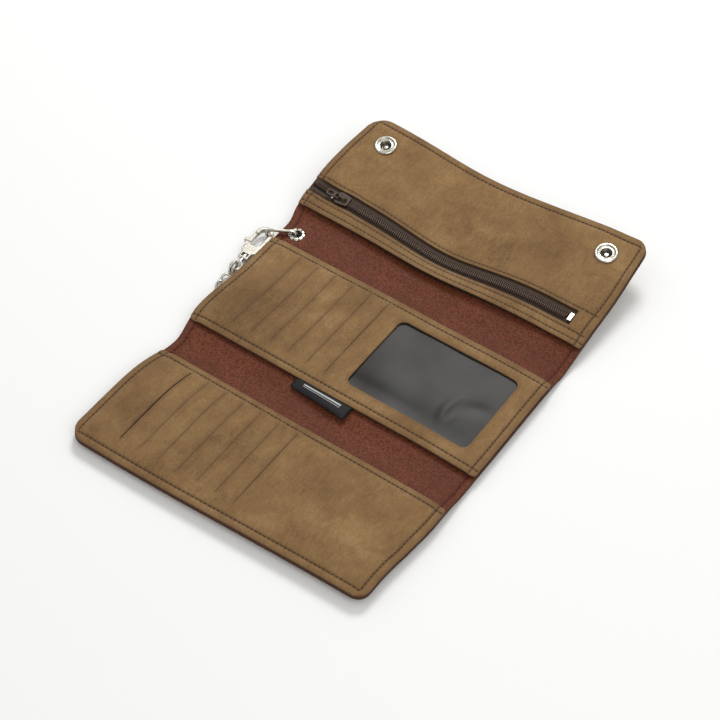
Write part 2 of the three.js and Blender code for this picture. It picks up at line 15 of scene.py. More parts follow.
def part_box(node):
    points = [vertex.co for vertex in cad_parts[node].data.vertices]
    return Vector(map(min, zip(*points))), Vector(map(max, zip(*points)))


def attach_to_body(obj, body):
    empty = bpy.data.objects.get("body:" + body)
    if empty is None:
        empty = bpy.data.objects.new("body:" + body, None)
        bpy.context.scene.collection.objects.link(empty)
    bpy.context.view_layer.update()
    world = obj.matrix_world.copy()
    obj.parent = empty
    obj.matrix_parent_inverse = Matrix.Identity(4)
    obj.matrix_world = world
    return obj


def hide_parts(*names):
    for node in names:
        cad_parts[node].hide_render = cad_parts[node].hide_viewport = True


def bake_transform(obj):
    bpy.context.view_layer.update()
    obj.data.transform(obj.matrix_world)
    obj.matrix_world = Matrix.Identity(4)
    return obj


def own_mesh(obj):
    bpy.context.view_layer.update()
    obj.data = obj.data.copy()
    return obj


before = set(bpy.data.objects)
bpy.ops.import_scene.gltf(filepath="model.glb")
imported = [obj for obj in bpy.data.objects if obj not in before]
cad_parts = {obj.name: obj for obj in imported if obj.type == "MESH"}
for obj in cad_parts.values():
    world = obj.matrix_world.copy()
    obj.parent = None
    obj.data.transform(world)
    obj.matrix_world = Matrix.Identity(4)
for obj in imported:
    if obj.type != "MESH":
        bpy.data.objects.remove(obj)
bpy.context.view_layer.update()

MM = 0.001

# ---- dimensions, as in the CAD model

HALF_WIDTH = 95.0
CORNERS = (10.5, 7.5, 8.5, 11.5)  # lower left, lower right, upper right, upper left
REST_HEIGHT = 3.6
LOWER_FOLD = -52.7
FLAP_FOLD = 60.8
FLAP_FOLD_HEIGHT = 10.1
FLAP_TILT = math.radians(10)
LOWER_EDGE = -142.4
FLAP_EDGE = 147.4
ZIP_U = FLAP_FOLD + 21.3
SLOT_HALF = 5.0
SLOT_END = 82.4
SOCKET = (75.4, FLAP_FOLD + 69.0)
STUD = (75.4, -97.2)
EYELET = (-85.3, 49.1)
WINDOW = (3.8, 81.4, -28.0, 28.0)
FACE_INSET = 0.2  # a pocket's face ends this far inside the hide's edge
MIDDLE_HALF = 39.4  # half of the middle face's height
LOWER_MOUTH = -66.0  # the lower face's upper edge
CROSS_SEAM_END = 94.6  # how far out the seams across the wallet run
MIDDLE_SLIT_RUN = (-28.7, 33.4)
LOWER_SLIT_RUN = (-129.5, -72)
MIDDLE_SLITS = [-70.5 + 12.3 * i for i in range(6)]
LOWER_SLITS = [-68.5 + 12.1 * i for i in range(7)]
CHAIN_Z = 1.6
CHAIN_ROUTE = [
    (-100.2, 2.8), (-99.4, -4.4), (-96.6, -11.2), (-92.2, -17.4), (-86.8, -23), (-80.4, -28),
    (-72.8, -31.8), (-64, -33), (-54.8, -31), (-46.2, -26.2), (-40.8, -17.8), (-38.8, -8),
    (-40.2, 2), (-44.8, 11), (-51.6, 18.4), (-58.8, 25.2), (-64.6, 33), (-68.4, 42),
    (-71.6, 51), (-77.4, 58.4), (-85.6, 62.4), (-93.2, 67), (-97.6, 74.8), (-97.2, 84.2),
    (-93.4, 93.6), (-86.6, 101.2), (-77.8, 104.9),
]

# Heights of each layer's lower and upper side above the hide's outer face.
HIDE_LAYER, LINING_LAYER = (0, 1.5), (1.55, 2.2)
FACE_LAYER, FLAP_FACE_LAYER = (4.4, 5.6), (3.5, 4.7)
MIDDLE_PAD_LAYER, LOWER_PAD_LAYER, BAG_LAYER = (2.3, 3.2), (2.3, 4.2), (2.3, 2.75)
BACKING_LAYER, FILM_LAYER, TAPE_LAYER = (3.5, 3.6), (4.25, 4.4), (3.05, 3.35)

# The CAD model is centred on its leather; the eyelet shows by how much.
CENTRE_Y = EYELET[1] - (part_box("eyelet")[0].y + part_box("eyelet")[1].y) / 2 / MM

# The stretches of u that the two folds span; the hide turns over the flap's one.
FLAP_BEND = (54.8, 67.0)
LOWER_BEND = (-43.0, -62.4)


def smooth(t):
    """0 before 0, 1 after 1, and an even S between them."""
    t = np.clip(t, 0, 1)
    return t * t * (3 - 2 * t)


# ---- the lie of the leather

# Fittings that the leather lies flat at: x, u, reach, and how far beyond that it takes to come back to its own lie.
FITTINGS = [
    (EYELET[0], EYELET[1], 7.0, 13.0),
    (-75.8, ZIP_U, 5.0, 12.0), (-82.5, ZIP_U, 4.5, 7.0), (77.0, ZIP_U, 8.0, 12.0),
    (SOCKET[0], SOCKET[1], 8.0, 16.0), (STUD[0], STUD[1], 8.0, 16.0),
]

FLAP_DIP = 5.0  # how far the flap's middle hangs below its corners
FLAP_BOW = 3.0  # and how far it slips down towards the fold


def bell(value, centre, width):
    """1 at the centre, and an even fall to 0 on both sides of it."""
    return np.exp(-(((value - centre) / width) ** 2))


def calm(x, u):
    """0 at the metal fittings and 1 away from them."""
    keep = np.ones_like(x)
    for at_x, at_u, reach, settle in FITTINGS:
        keep = keep * smooth((np.hypot(x - at_x, u - at_u) - reach) / settle)
    return keep


def slack(x, u):
    """How much of the flap's dip a point takes: 1 at the middle, 0 towards both sides."""
    return bell(x, -6, 37 + 15 * smooth((u - FLAP_FOLD - 20) / 60))


def lower_right(x, u):
    """How near a point is to the lower panel's right corner, from 0 to 1."""
    return smooth((x + 75) / 170) * smooth((-78 - u) / 62)


def rise(x, u):
    """How far the hide and all its layers stand above the flat."""
    v = u - FLAP_FOLD
    high = -FLAP_DIP * slack(x, u) * smooth((v - 5) / 22)
    # the flap's left edge and right corner stand up
    high += 2.2 * bell(x, -HALF_WIDTH, 18) * smooth(v / 16) * (1 - smooth((v - 30) / 45))
    high += 3.0 * smooth((x - 25) / 70) * smooth((v - 42) / 45)
    # the lower strip, the upper strip and the middle panel's right edge settle
    high -= 1.9 * bell(u, LOWER_FOLD, 8) * (1 - 0.4 * np.abs(x) / HALF_WIDTH)
    high -= 1.5 * bell(u, 51, 6) * smooth((x + 60) / 35)
    high -= 1.6 * smooth((x - 55) / 45) * smooth((u + 60) / 20) * smooth((70 - u) / 20)
    high += 0.6 * lower_right(x, u)
    # shallow waves, fainter where closed panels lie on each other
    ripple = 0.35 * np.sin(0.055 * x + 0.041 * u + 1.3) + 0.3 * np.sin(0.031 * x - 0.083 * u + 0.4)
    ripple = ripple * (1 - 0.4 * smooth((48 - u) / 12) - 0.3 * smooth((-50 - u) / 15))
    return high + ripple * smooth((x + 60) / 60)


def slip(x, u):
    """How far the layers slide along u."""
    return 3.9 * lower_right(x, u) - FLAP_BOW * slack(x, u) * smooth((u - FLAP_FOLD + 4) / 12)


def spread(x, u):
    """How far the layers slide along x: the hide is a little uneven, wider at its left."""
    v = u - FLAP_FOLD
    # wider beside the flap and the lower panel, but not beside the clasp or at the lower strip
    left = -3.2 * (1 - smooth((u + 34) / 50) + smooth((u - 49) / 14)) + 5.6 * bell(u, -58, 20)
    left = left - 1.4 * bell(v, 36, 26) + 2.6 * smooth((v - 55) / 35)
    right = 1.2 - 1.2 * smooth((v - 35) / 50) - 3.4 * smooth((-75 - u) / 50)
    return left * smooth(-x / HALF_WIDTH) + right * smooth(x / HALF_WIDTH)


def place(points):
    """Sheet coordinates (x, u, w) to the row frame, in metres."""
    x, u, w = np.asarray(points, float).T
    still = calm(x, u)
    w = w + rise(x, u) * still
    u = u + slip(x, u) * still
    x = x + spread(x, u) * still
    angle = FLAP_TILT * smooth((u - FLAP_BEND[0]) / (FLAP_BEND[1] - FLAP_BEND[0]))
    along = u - FLAP_FOLD
    above = w - FLAP_FOLD_HEIGHT
    y = FLAP_FOLD + along * np.cos(angle) - above * np.sin(angle) - CENTRE_Y
    z = REST_HEIGHT + FLAP_FOLD_HEIGHT + along * np.sin(angle) + above * np.cos(angle)
    return np.stack([x, y, z], axis=1) * MM


def fitting_matrix(x, u):
    """The place of a fitting that is turned about its own z, at height 0 of the hide."""
    at = Vector(place([(x, u, 0)])[0])
    tilt = FLAP_TILT if u > FLAP_BEND[1] else 0.0
    return Matrix.Translation(at) @ Matrix.Rotation(tilt, 4, "X")


# ---- materials


class Shader:
    """A material's node tree, with short ways to add to it."""

    def __init__(self, name):
        self.material = bpy.data.materials.new(name)
        self.material.use_nodes = True
        self.tree = self.material.node_tree
        self.surface = self.tree.nodes["Principled BSDF"]

    def add(self, kind, inputs=None, **settings):
        made = self.tree.nodes.new("ShaderNode" + kind)
        for key, value in settings.items():
            setattr(made, key, value)
        for key, value in (inputs or {}).items():
            self.plug(made.inputs[key], value)
        return made

    def plug(self, socket, value):
        if isinstance(value, bpy.types.NodeSocket):
            self.tree.links.new(value, socket)
        else:
            socket.default_value = value

    def set(self, **values):
        for key, value in values.items():
            self.plug(self.surface.inputs[key.replace("_", " ")], value)

    def attribute(self, name, output="Fac"):
        return self.add("Attribute", attribute_name=name).outputs[output]

    def position(self):
        return self.add("TexCoord").outputs["Object"]

    def noise(self, vector, scale, detail=2.0, rough=0.5, distortion=0.0):
        inputs = {"Vector": vector, "Scale": scale, "Detail": detail, "Roughness": rough, "Distortion": distortion}
        return self.add("TexNoise", inputs).outputs["Fac"]

    def math(self, operation, a, b=0.0, c=0.0):
        return self.add("Math", {0: a, 1: b, 2: c}, operation=operation).outputs[0]

    def times(self, a, b):
        return self.math("MULTIPLY", a, b)

    def near(self, value, centre, half):
        """1 where value is within half of centre, and 0 elsewhere."""
        return self.math("LESS_THAN", self.math("ABSOLUTE", self.math("SUBTRACT", value, centre)), half)

    def ramp(self, value, stops):
        """A colour for each value, from (place, colour) stops."""
        made = self.add("ValToRGB", {"Fac": value})
        band = made.color_ramp
        while len(band.elements) < len(stops):
            band.elements.new(0.5)
        for element, (at, colour) in zip(band.elements, stops):
            element.position = at
            element.color = (*colour, 1)
        return made.outputs["Color"]

    def blend(self, factor, a, b):
        made = self.add("Mix", {"Factor": factor}, data_type="RGBA")
        for socket, value in ((made.inputs[6], a), (made.inputs[7], b)):
            self.plug(socket, (*value, 1) if isinstance(value, tuple) else value)
        return made.outputs[2]

    def tint(self, base, name, strength, colour):
        """base, turned towards a colour where the named attribute is high."""
        return self.blend(self.times(self.attribute(name), strength), base, colour)

    def bump(self, height, strength, distance_mm):
        inputs = {"Height": height, "Strength": strength, "Distance": distance_mm * MM}
        self.set(Normal=self.add("Bump", inputs).outputs["Normal"])

    def stretched(self, vector, scale):
        inputs = {"Vector": vector, "Scale": scale}
        return self.add("Mapping", inputs).outputs["Vector"]


# Handled, darker places on the leather: x, u, reach and strength.
WORN_SPOTS = [
    (-66, -8, 34, 0.34), (-82, -22, 22, 0.22), (-80, -112, 30, 0.22), (-48, -122, 30, 0.20), (10, -108, 34, 0.14),
    (44, 112, 40, 0.16), (-20, 28, 30, 0.14), (86, 92, 30, 0.16),
]


def nubuck():
    """Waxed nubuck: cloudy brown with darker patches, scuffs, painted shade in the seams' grooves, and burnished edges.
    """
    s = Shader("nubuck")
    flat = s.attribute("flat", "Vector")
    cloud = s.noise(flat, 0.022, 4, 0.6, 0.6)
    patch = s.noise(flat, 0.075, 5, 0.65, 0.4)
    grain = s.noise(flat, 0.9, 4, 0.7)
    scuff = s.noise(s.stretched(flat, (1.0, 0.25, 1.0)), 0.5, 3, 0.7)
    tone = s.math("MULTIPLY_ADD", patch, 0.5, s.times(cloud, 0.5))
    tone = s.math("MULTIPLY_ADD", s.math("SUBTRACT", grain, 0.5), 0.55, tone)
    tone = s.math("MULTIPLY_ADD", s.math("SUBTRACT", scuff, 0.5), 0.30, tone)
    for x, u, reach, darker in WORN_SPOTS:
        away = s.add("VectorMath", {0: flat, 1: (x, u, 0)}, operation="DISTANCE").outputs["Value"]
        near = s.math("MAXIMUM", s.math("SUBTRACT", 1.0, s.math("DIVIDE", away, reach)), 0.0)
        tone = s.math("MULTIPLY_ADD", s.times(near, patch), -darker, tone)
    colour = s.ramp(tone, [
        (0.28, (0.136, 0.074, 0.030)), (0.42, (0.200, 0.113, 0.047)),
        (0.54, (0.240, 0.140, 0.058)), (0.72, (0.318, 0.198, 0.092)),
    ])
    red = s.times(s.ramp(s.noise(flat, 0.03, 3, 0.5), [(0.5, (0, 0, 0)), (0.7, (1, 1, 1))]), 0.3)
    colour = s.blend(red, colour, (0.155, 0.080, 0.034))
    # painted shade: the leather is painted darker in the grooves that the stitches pull along each seam
    colour = s.tint(colour, "seam", 0.55, (0.060, 0.031, 0.015))
    colour = s.tint(colour, "rim", 0.35, (0.085, 0.044, 0.022))
    colour = s.tint(colour, "side", 0.88, (0.030, 0.014, 0.008))
    s.set(Base_Color=colour, Roughness=0.88, Sheen_Weight=0.12, Sheen_Roughness=0.5, Specular_IOR_Level=0.15)
    nap = s.noise(flat, 3.2, 3, 0.7)
    s.bump(s.math("MULTIPLY_ADD", nap, 0.5, s.times(grain, 0.7)), 0.55, 0.25)
    return s.material


def pebbled():
    """Embossed lining leather: rust pebbles with darker valleys and a low sheen."""
    s = Shader("pebbled_lining")
    flat = s.attribute("flat", "Vector")
    wander = s.add("VectorMath", {0: s.noise(flat, 0.8, 2), 3: 0.9}, operation="SCALE").outputs[0]
    bent = s.add("VectorMath", {0: flat, 1: wander}, operation="ADD").outputs[0]
    cells = s.add("TexVoronoi", {"Vector": bent, "Scale": 0.78, "Smoothness": 0.35},
                  feature="SMOOTH_F1").outputs["Distance"]
    pebble = s.ramp(cells, [(0.30, (1, 1, 1)), (0.78, (0, 0, 0))])
    cloud = s.noise(flat, 0.05, 3)
    high = s.ramp(cloud, [(0.35, (0.122, 0.034, 0.016)), (0.65, (0.158, 0.045, 0.022))])
    colour = s.blend(pebble, (0.084, 0.023, 0.010), high)
    # painted shade: the lining is painted darker in the grooves along its seams
    colour = s.tint(colour, "seam", 0.4, (0.045, 0.008, 0.006))
    colour = s.tint(colour, "side", 0.5, (0.110, 0.035, 0.022))
    s.set(Base_Color=colour, Roughness=0.5, Specular_IOR_Level=0.10)
    s.bump(pebble, 0.75, 0.22)
    return s.material


def woven(name, dark, light, pitch, rough=0.8, strength=0.5):
    """A fine plain weave, with threads pitch mm apart."""
    s = Shader(name)
    flat = s.attribute("flat", "Vector")
    turns = 2 * math.pi / pitch
    split = s.add("SeparateXYZ", {"Vector": flat})
    warp = s.math("SINE", s.times(split.outputs["X"], turns))
    weft = s.math("SINE", s.times(split.outputs["Y"], turns))
    weave = s.math("MULTIPLY_ADD", s.times(warp, weft), 0.5, 0.5)
    share = s.math("MULTIPLY_ADD", s.noise(flat, 0.3, 3), 0.5, s.times(weave, 0.5))
    colour = s.blend(share, dark, light)
    s.set(Base_Color=colour, Roughness=rough, Specular_IOR_Level=0.3)
    s.bump(weave, strength, 0.12)
    return s.material


def metal(name, colour, rough, metallic=1.0):
    """Plated metal with faint wear, painted near black where a piece's hollow lies in shade."""
    s = Shader(name)
    where = s.position()
    cloud = s.noise(where, 260, 4, 0.6)
    dull = tuple(0.72 * c for c in colour)
    plated = s.blend(s.times(cloud, 0.7), colour, dull)
    # painted shade: the metal is painted near black inside the hollows of the sockets and the eyelet
    s.set(Base_Color=s.blend(s.attribute("hollow_shade"), plated, (0.035, 0.032, 0.028)), Metallic=metallic)
    s.set(Roughness=s.math("MULTIPLY_ADD", cloud, 0.18, rough - 0.07))
    s.bump(s.noise(where, 900, 3), 0.08, 0.05)
    return s.material


def plastic(name, colour, rough):
    """Moulded nylon."""
    s = Shader(name)
    where = s.position()
    cloud = s.noise(where, 500, 3)
    lighter = tuple(min(1, 1.7 * c) for c in colour)
    s.set(Base_Color=s.blend(cloud, colour, lighter), Roughness=rough)
    s.bump(cloud, 0.1, 0.05)
    return s.material


def twisted_thread(name, colour):
    """Waxed thread: two plies that wind round each other."""
    s = Shader(name)
    where = s.position()
    wave = s.add("TexWave", {"Vector": where, "Scale": 700.0, "Distortion": 1.0}, bands_direction="DIAGONAL")
    lighter = tuple(min(1, 2.0 * c) for c in colour)
    s.set(Base_Color=s.blend(wave.outputs["Fac"], colour, lighter), Roughness=0.7)
    s.bump(wave.outputs["Fac"], 0.4, 0.08)
    return s.material


def clear_film():
    """Soft clear vinyl, a little cloudy, with a painted highlight along its lower edge and a band of painted shade just
    above it.
    """
    s = Shader("clear_film")
    flat = s.attribute("flat", "Vector")
    haze = s.noise(flat, 0.045, 3, 0.5, 0.5)
    clouds = s.ramp(haze, [(0.35, (0.020, 0.018, 0.014)), (0.65, (0.036, 0.032, 0.026))])
    # painted light: a painted highlight at the film's very lower edge, then a band of painted shade above it that fades
    # out towards the middle
    up = s.add("SeparateXYZ", {"Vector": flat}).outputs["Y"]
    share = s.math("MULTIPLY_ADD", up, 1 / 56, 0.5)
    band = s.ramp(share, [(0.0, (1.9, 1.95, 2.1)), (0.05, (0.9, 0.9, 0.9)), (0.15, (0.35, 0.35, 0.35)),
                          (0.38, (1.0, 1.0, 1.0))])
    colour = s.add("Mix", {"Factor": 1.0, 6: clouds, 7: band}, data_type="RGBA", blend_type="MULTIPLY")
    s.set(Base_Color=colour.outputs[2], Roughness=0.34, Alpha=0.6, IOR=1.45, Specular_IOR_Level=0.2)
    s.bump(s.noise(flat, 0.05, 1, 0.3, 0.4), 0.25, 0.6)
    return s.material


def label_weave():
    """Black satin with a plain pale bar and a thin line woven along it."""
    s = Shader("label_satin")
    flat = s.attribute("flat", "Vector")
    split = s.add("SeparateXYZ", {"Vector": flat})
    across = split.outputs["Y"]
    bar, line = s.near(across, 4.6, 0.55), s.near(across, 6.1, 0.16)
    mark = s.times(s.math("MAXIMUM", bar, line), s.near(split.outputs["X"], -1.5, 12.5))
    ribs = s.math("SINE", s.times(across, 2 * math.pi / 0.35))
    thread = s.noise(s.stretched(flat, (4.0, 0.3, 1.0)), 1.2, 2)
    pale = s.blend(thread, (0.30, 0.30, 0.30), (0.55, 0.55, 0.55))
    s.set(Base_Color=s.blend(mark, (0.008, 0.008, 0.009), pale), Roughness=0.6, Specular_IOR_Level=0.2)
    s.bump(ribs, 0.25, 0.06)
    return s.material


NUBUCK = nubuck()
PEBBLED = pebbled()
POCKET_CLOTH = woven("pocket_cloth", (0.012, 0.010, 0.009), (0.030, 0.026, 0.022), 0.5)
BACKING_CLOTH = woven("id_backing_cloth", (0.027, 0.025, 0.019), (0.044, 0.040, 0.032), 0.6)
TAPE_CLOTH = woven("zip_tape_cloth", (0.030, 0.017, 0.010), (0.085, 0.054, 0.036), 0.8, strength=0.8)
FILM = clear_film()
LABEL = label_weave()
NICKEL = metal("nickel", (0.66, 0.63, 0.55), 0.20)
STEEL = metal("plain_steel", (0.62, 0.61, 0.58), 0.30)
BRONZE = metal("brown_enamel", (0.060, 0.036, 0.024), 0.40, 0.35)
TEETH = plastic("zip_nylon", (0.060, 0.036, 0.024), 0.34)
THREAD = twisted_thread("brown_thread", (0.026, 0.014, 0.008))
RED_THREAD = twisted_thread("red_thread", (0.060, 0.014, 0.010))


# ---- meshes

NO_DISTANCE = 1e6  # the distance to a path that isn't there


def link(made):
    bpy.context.scene.collection.objects.link(made)
    return made


def make_object(name, vertices, faces, material):
    """A smooth-shaded mesh from vertices in metres."""
    mesh = bpy.data.meshes.new(name)
    mesh.from_pydata([tuple(v) for v in vertices], [], faces)
    mesh.polygons.foreach_set("use_smooth", [True] * len(mesh.polygons))
    mesh.materials.append(material)
    mesh.update()
    made = link(bpy.data.objects.new(name, mesh))
    return made


def attach(made, body, *replaced):
    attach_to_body(made, body)
    if replaced:
        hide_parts(*replaced)
    return made


def grid_lines(low, high, step, through):
    """Values from low to high, about step apart, with one at each value of through."""
    fixed = sorted({low, high, *[value for value in through if low + 0.05 < value < high - 0.05]})
    values = []
    for start, end in zip(fixed, fixed[1:]):
        count = max(1, round((end - start) / step))
        values.extend(np.linspace(start, end, count + 1)[:-1])
    return np.array([*values, high])


def around(value, offsets=(-1.3, -0.6, 0.0, 0.6, 1.3)):
    return [value + offset for offset in offsets]


def arc(centre, radius, start, end, steps=8):
    """Points on an arc, angles in degrees."""
    angles = np.radians(np.linspace(start, end, steps + 1))
    return [(centre[0] + radius * math.cos(a), centre[1] + radius * math.sin(a)) for a in angles]


def outline(left, right, low, high, radii, inset=0.0):
    """A rectangle's outline, anticlockwise from its lower left corner, corners rounded, and drawn in by inset."""
    a, b, c, d = [max(r - inset, 0.01) for r in radii]
    left, right, low, high = left + inset, right - inset, low + inset, high - inset
    return (
        arc((left + a, low + a), a, 180, 270) + arc((right - b, low + b), b, 270, 360)
        + arc((right - c, high - c), c, 0, 90) + arc((left + d, high - d), d, 90, 180)
    )


def distance_to(points, paths):
    """Each point's distance to the nearest of some polylines, in sheet coordinates."""
    nearest = np.full(len(points), NO_DISTANCE)
    for path in paths:
        for start, end in zip(path, path[1:]):
            start = np.array(start)
            along = np.array(end) - start
            t = np.clip((points - start) @ along / max(along @ along, 1e-9), 0, 1)
            nearest = np.minimum(nearest, np.linalg.norm(points - start - t[:, None] * along, axis=1))
    return nearest


def round_corners(x, u, left, right, low, high, radii):
    """Moves a grid's points inside each corner's square so that the corner is round."""
    corners = zip(radii, ((left, low), (right, low), (right, high), (left, high)))
    for radius, (corner_x, corner_u) in corners:
        if radius <= 0:
            continue
        sign_x = 1 if corner_x == right else -1
        sign_u = 1 if corner_u == high else -1
        centre_x, centre_u = corner_x - sign_x * radius, corner_u - sign_u * radius
        a, b = (x - centre_x) * sign_x / radius, (u - centre_u) * sign_u / radius
        inside = (a > 0) & (b > 0)
        x = np.where(inside, centre_x + sign_x * radius * a * np.sqrt(np.clip(1 - b * b / 2, 0, 1)), x)
        u = np.where(inside, centre_u + sign_u * radius * b * np.sqrt(np.clip(1 - a * a / 2, 0, 1)), u)
    return x, u


def round_hole(x, u, hole):
    """Moves the points on a hole's edge so that its corners are round."""
    x0, x1, u0, u1, radius = hole
    if radius <= 0:
        return x, u
    for corner_x, sign_x in ((x0, -1), (x1, 1)):
        for corner_u, sign_u in ((u0, -1), (u1, 1)):
            centre_x, centre_u = corner_x - sign_x * radius, corner_u - sign_u * radius
            a, b = (x - centre_x) * sign_x / radius, (u - centre_u) * sign_u / radius
            close = 1e-4
            on_side = (np.abs(a - 1) < close) & (b > 0) & (b <= 1 + close)
            on_end = (np.abs(b - 1) < close) & (a > 0) & (a <= 1 + close)
            angle = np.where(on_side, b * math.pi / 4, math.pi / 2 - a * math.pi / 4)
            move = on_side | on_end
            x = np.where(move, centre_x + sign_x * radius * np.cos(angle), x)
            u = np.where(move, centre_u + sign_u * radius * np.sin(angle), u)
    return x, u


def sheet_piece(name, material, slot, bounds, heights, radii=(0, 0, 0, 0), holes=(), seams=(), slits=(),
                through_x=(), through_u=(), shape=None, step=2.2, edge=0.3):
    """A plate with its edges rounded, laid in place.

    Each hole is (left, right, low, high, corner radius). Its grid has lines at through_x and through_u, and
    shape(x, u, s) lifts it, where s is 0 at its lower face and 1 at its upper one."""
    left, right, low, high = bounds
    hole_x = [value for hole in holes for value in hole[:2]]
    hole_u = [value for hole in holes for value in hole[2:4]]
    xs = grid_lines(left, right, step, [*hole_x, *through_x])
    us = grid_lines(low, high, step, [*hole_u, *through_u])
    x, u = np.meshgrid(xs, us, indexing="ij")
    middle_x, middle_u = (xs[1:] + xs[:-1]) / 2, (us[1:] + us[:-1]) / 2
    kept = np.ones((len(middle_x), len(middle_u)), bool)
    for x0, x1, u0, u1, _ in holes:
        in_x, in_u = (middle_x > x0) & (middle_x < x1), (middle_u > u0) & (middle_u < u1)
        kept[np.ix_(in_x, in_u)] = False
    x, u = round_corners(x, u, left, right, low, high, radii)
    for hole in holes:
        x, u = round_hole(x, u, hole)

    count, layer = len(us), x.size
    faces = []
    for i, j in np.argwhere(kept):
        a, b, c, d = i * count + j, (i + 1) * count + j, (i + 1) * count + j + 1, i * count + j + 1
        faces.append((a + layer, b + layer, c + layer, d + layer))
        faces.append((d, c, b, a))
        neighbours = (((i, j - 1), a, b), ((i + 1, j), b, c), ((i, j + 1), c, d), ((i - 1, j), d, a))
        for (ni, nj), p, q in neighbours:
            if not (0 <= ni < kept.shape[0] and 0 <= nj < kept.shape[1] and kept[ni, nj]):
                faces.append((p, q, q + layer, p + layer))
    flat = np.stack([x.ravel(), u.ravel()], axis=1)
    flat = np.concatenate([np.c_[flat, np.full(layer, heights[0])], np.c_[flat, np.full(layer, heights[1])]])
    used = np.unique([v for face in faces for v in face])
    renumber = np.zeros(len(flat), int)
    renumber[used] = np.arange(len(used))
    faces = [tuple(int(renumber[v]) for v in face) for face in faces]
    made = make_object(name, flat[used], faces, material)
    if edge > 0:
        bevel = made.modifiers.new("round_edges", "BEVEL")
        bevel.width = edge
        bevel.segments = 2
        bevel.limit_method = "ANGLE"
        bevel.angle_limit = math.radians(50)
        graph = bpy.context.evaluated_depsgraph_get()
        mesh = bpy.data.meshes.new_from_object(made.evaluated_get(graph))
        made.modifiers.clear()
        made.data = mesh

    mesh = made.data
    flat = np.zeros(len(mesh.vertices) * 3)
    mesh.vertices.foreach_get("co", flat)
    flat = flat.reshape(-1, 3)
    share = np.clip((flat[:, 2] - heights[0]) / (heights[1] - heights[0]), 0, 1)
    border = outline(left, right, low, high, radii)
    border.append(border[0])
    from_edge = distance_to(flat[:, :2], [border, *(outline(*hole[:4], (hole[4],) * 4) for hole in holes)])
    from_seam = distance_to(flat[:, :2], seams)
    from_slit = distance_to(flat[:, :2], slits)
    store(mesh, "flat", flat)
    store(mesh, "side", np.where((from_edge < 0.22) & (share < 0.97), 1.0, 0.0))
    store(mesh, "rim", np.exp(-from_edge / 1.6) + 0.45 * np.exp(-from_slit / 0.6))
    # closeness to a seam, which the materials paint darker as shade in the stitch groove
    store(mesh, "seam", bell(from_seam, 0, 0.7))
    lifted = flat.copy()
    if seams:  # the thread pulls a groove, and the leather is full along its edge
        lifted[:, 2] += (0.3 * bell(from_edge, 2.3, 1.1) - 0.4 * bell(from_seam, 0, 0.8)) * share
    if shape is not None:
        lifted[:, 2] += shape(flat[:, 0], flat[:, 1], share)
    mesh.vertices.foreach_set("co", place(lifted).ravel())
    mesh.update()
    return made


def store(mesh, name, values):
    """Keeps a value or a vector for each vertex, for the materials."""
    vector = values.ndim == 2
    made = mesh.attributes.new(name, "FLOAT_VECTOR" if vector else "FLOAT", "POINT")
    made.data.foreach_set("vector" if vector else "value", values.astype(np.float32).ravel())


def resample(path, gap):
    """Points gap apart along a polyline, and the directions there."""
    path = np.array(path, float)
    steps = np.linalg.norm(np.diff(path, axis=0), axis=1)
    run = np.concatenate([[0], np.cumsum(steps)])
    count = max(2, int(run[-1] / gap))
    at = (np.arange(count) + 0.5) * run[-1] / count
    behind, points, ahead = (
        np.stack([np.interp(at + shift, run, column) for column in path.T], axis=1) for shift in (-0.05, 0, 0.05))
    direction = ahead - behind
    return points, direction / np.linalg.norm(direction, axis=1)[:, None]


STITCH_PITCH = 2.7
STITCH_LENGTH = 2.15
STITCH_RADIUS = 0.22


def stitches(name, paths, height, body, material=None, blend=None, facing=1):
    """A row of stitches along each path. height(x, u) is the leather's surface there, in sheet coordinates, and
    facing is 1 on a surface that looks up and -1 on the hide's outer face."""
    profile = [(-0.5, 0.15, -0.35), (-0.42, 0.8, -0.05), (-0.2, 1.0, 0.1), (0.2, 1.0, 0.1), (0.42, 0.8, -0.05),
               (0.5, 0.15, -0.35)]
    sides = 6
    vertices, faces = [], []
    for path in paths:
        for (x, u), (dx, du) in zip(*resample(path, STITCH_PITCH)):
            base = len(vertices)
            for along, wide, up in profile:
                px, pu = x + dx * along * STITCH_LENGTH, u + du * along * STITCH_LENGTH
                for k in range(sides):
                    angle = 2 * math.pi * k / sides
                    side = STITCH_RADIUS * wide * math.cos(angle)
                    rise_by = STITCH_RADIUS * wide * math.sin(angle) + up
                    vertices.append((px - du * side, pu + dx * side, height(px, pu) + facing * rise_by))
            for ring in range(len(profile) - 1):
                for k in range(sides):
                    a, b = base + ring * sides + k, base + ring * sides + (k + 1) % sides
                    faces.append((a, a + sides, b + sides, b))
            faces.append(tuple(base + k for k in range(sides)))
            last = base + (len(profile) - 1) * sides
            faces.append(tuple(last + k for k in reversed(range(sides))))
    faces = faces if facing > 0 else [face[::-1] for face in faces]
    made = make_object(name, place(vertices), faces, material or THREAD)
    if blend:
        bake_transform(made)
    else:
        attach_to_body(made, body)


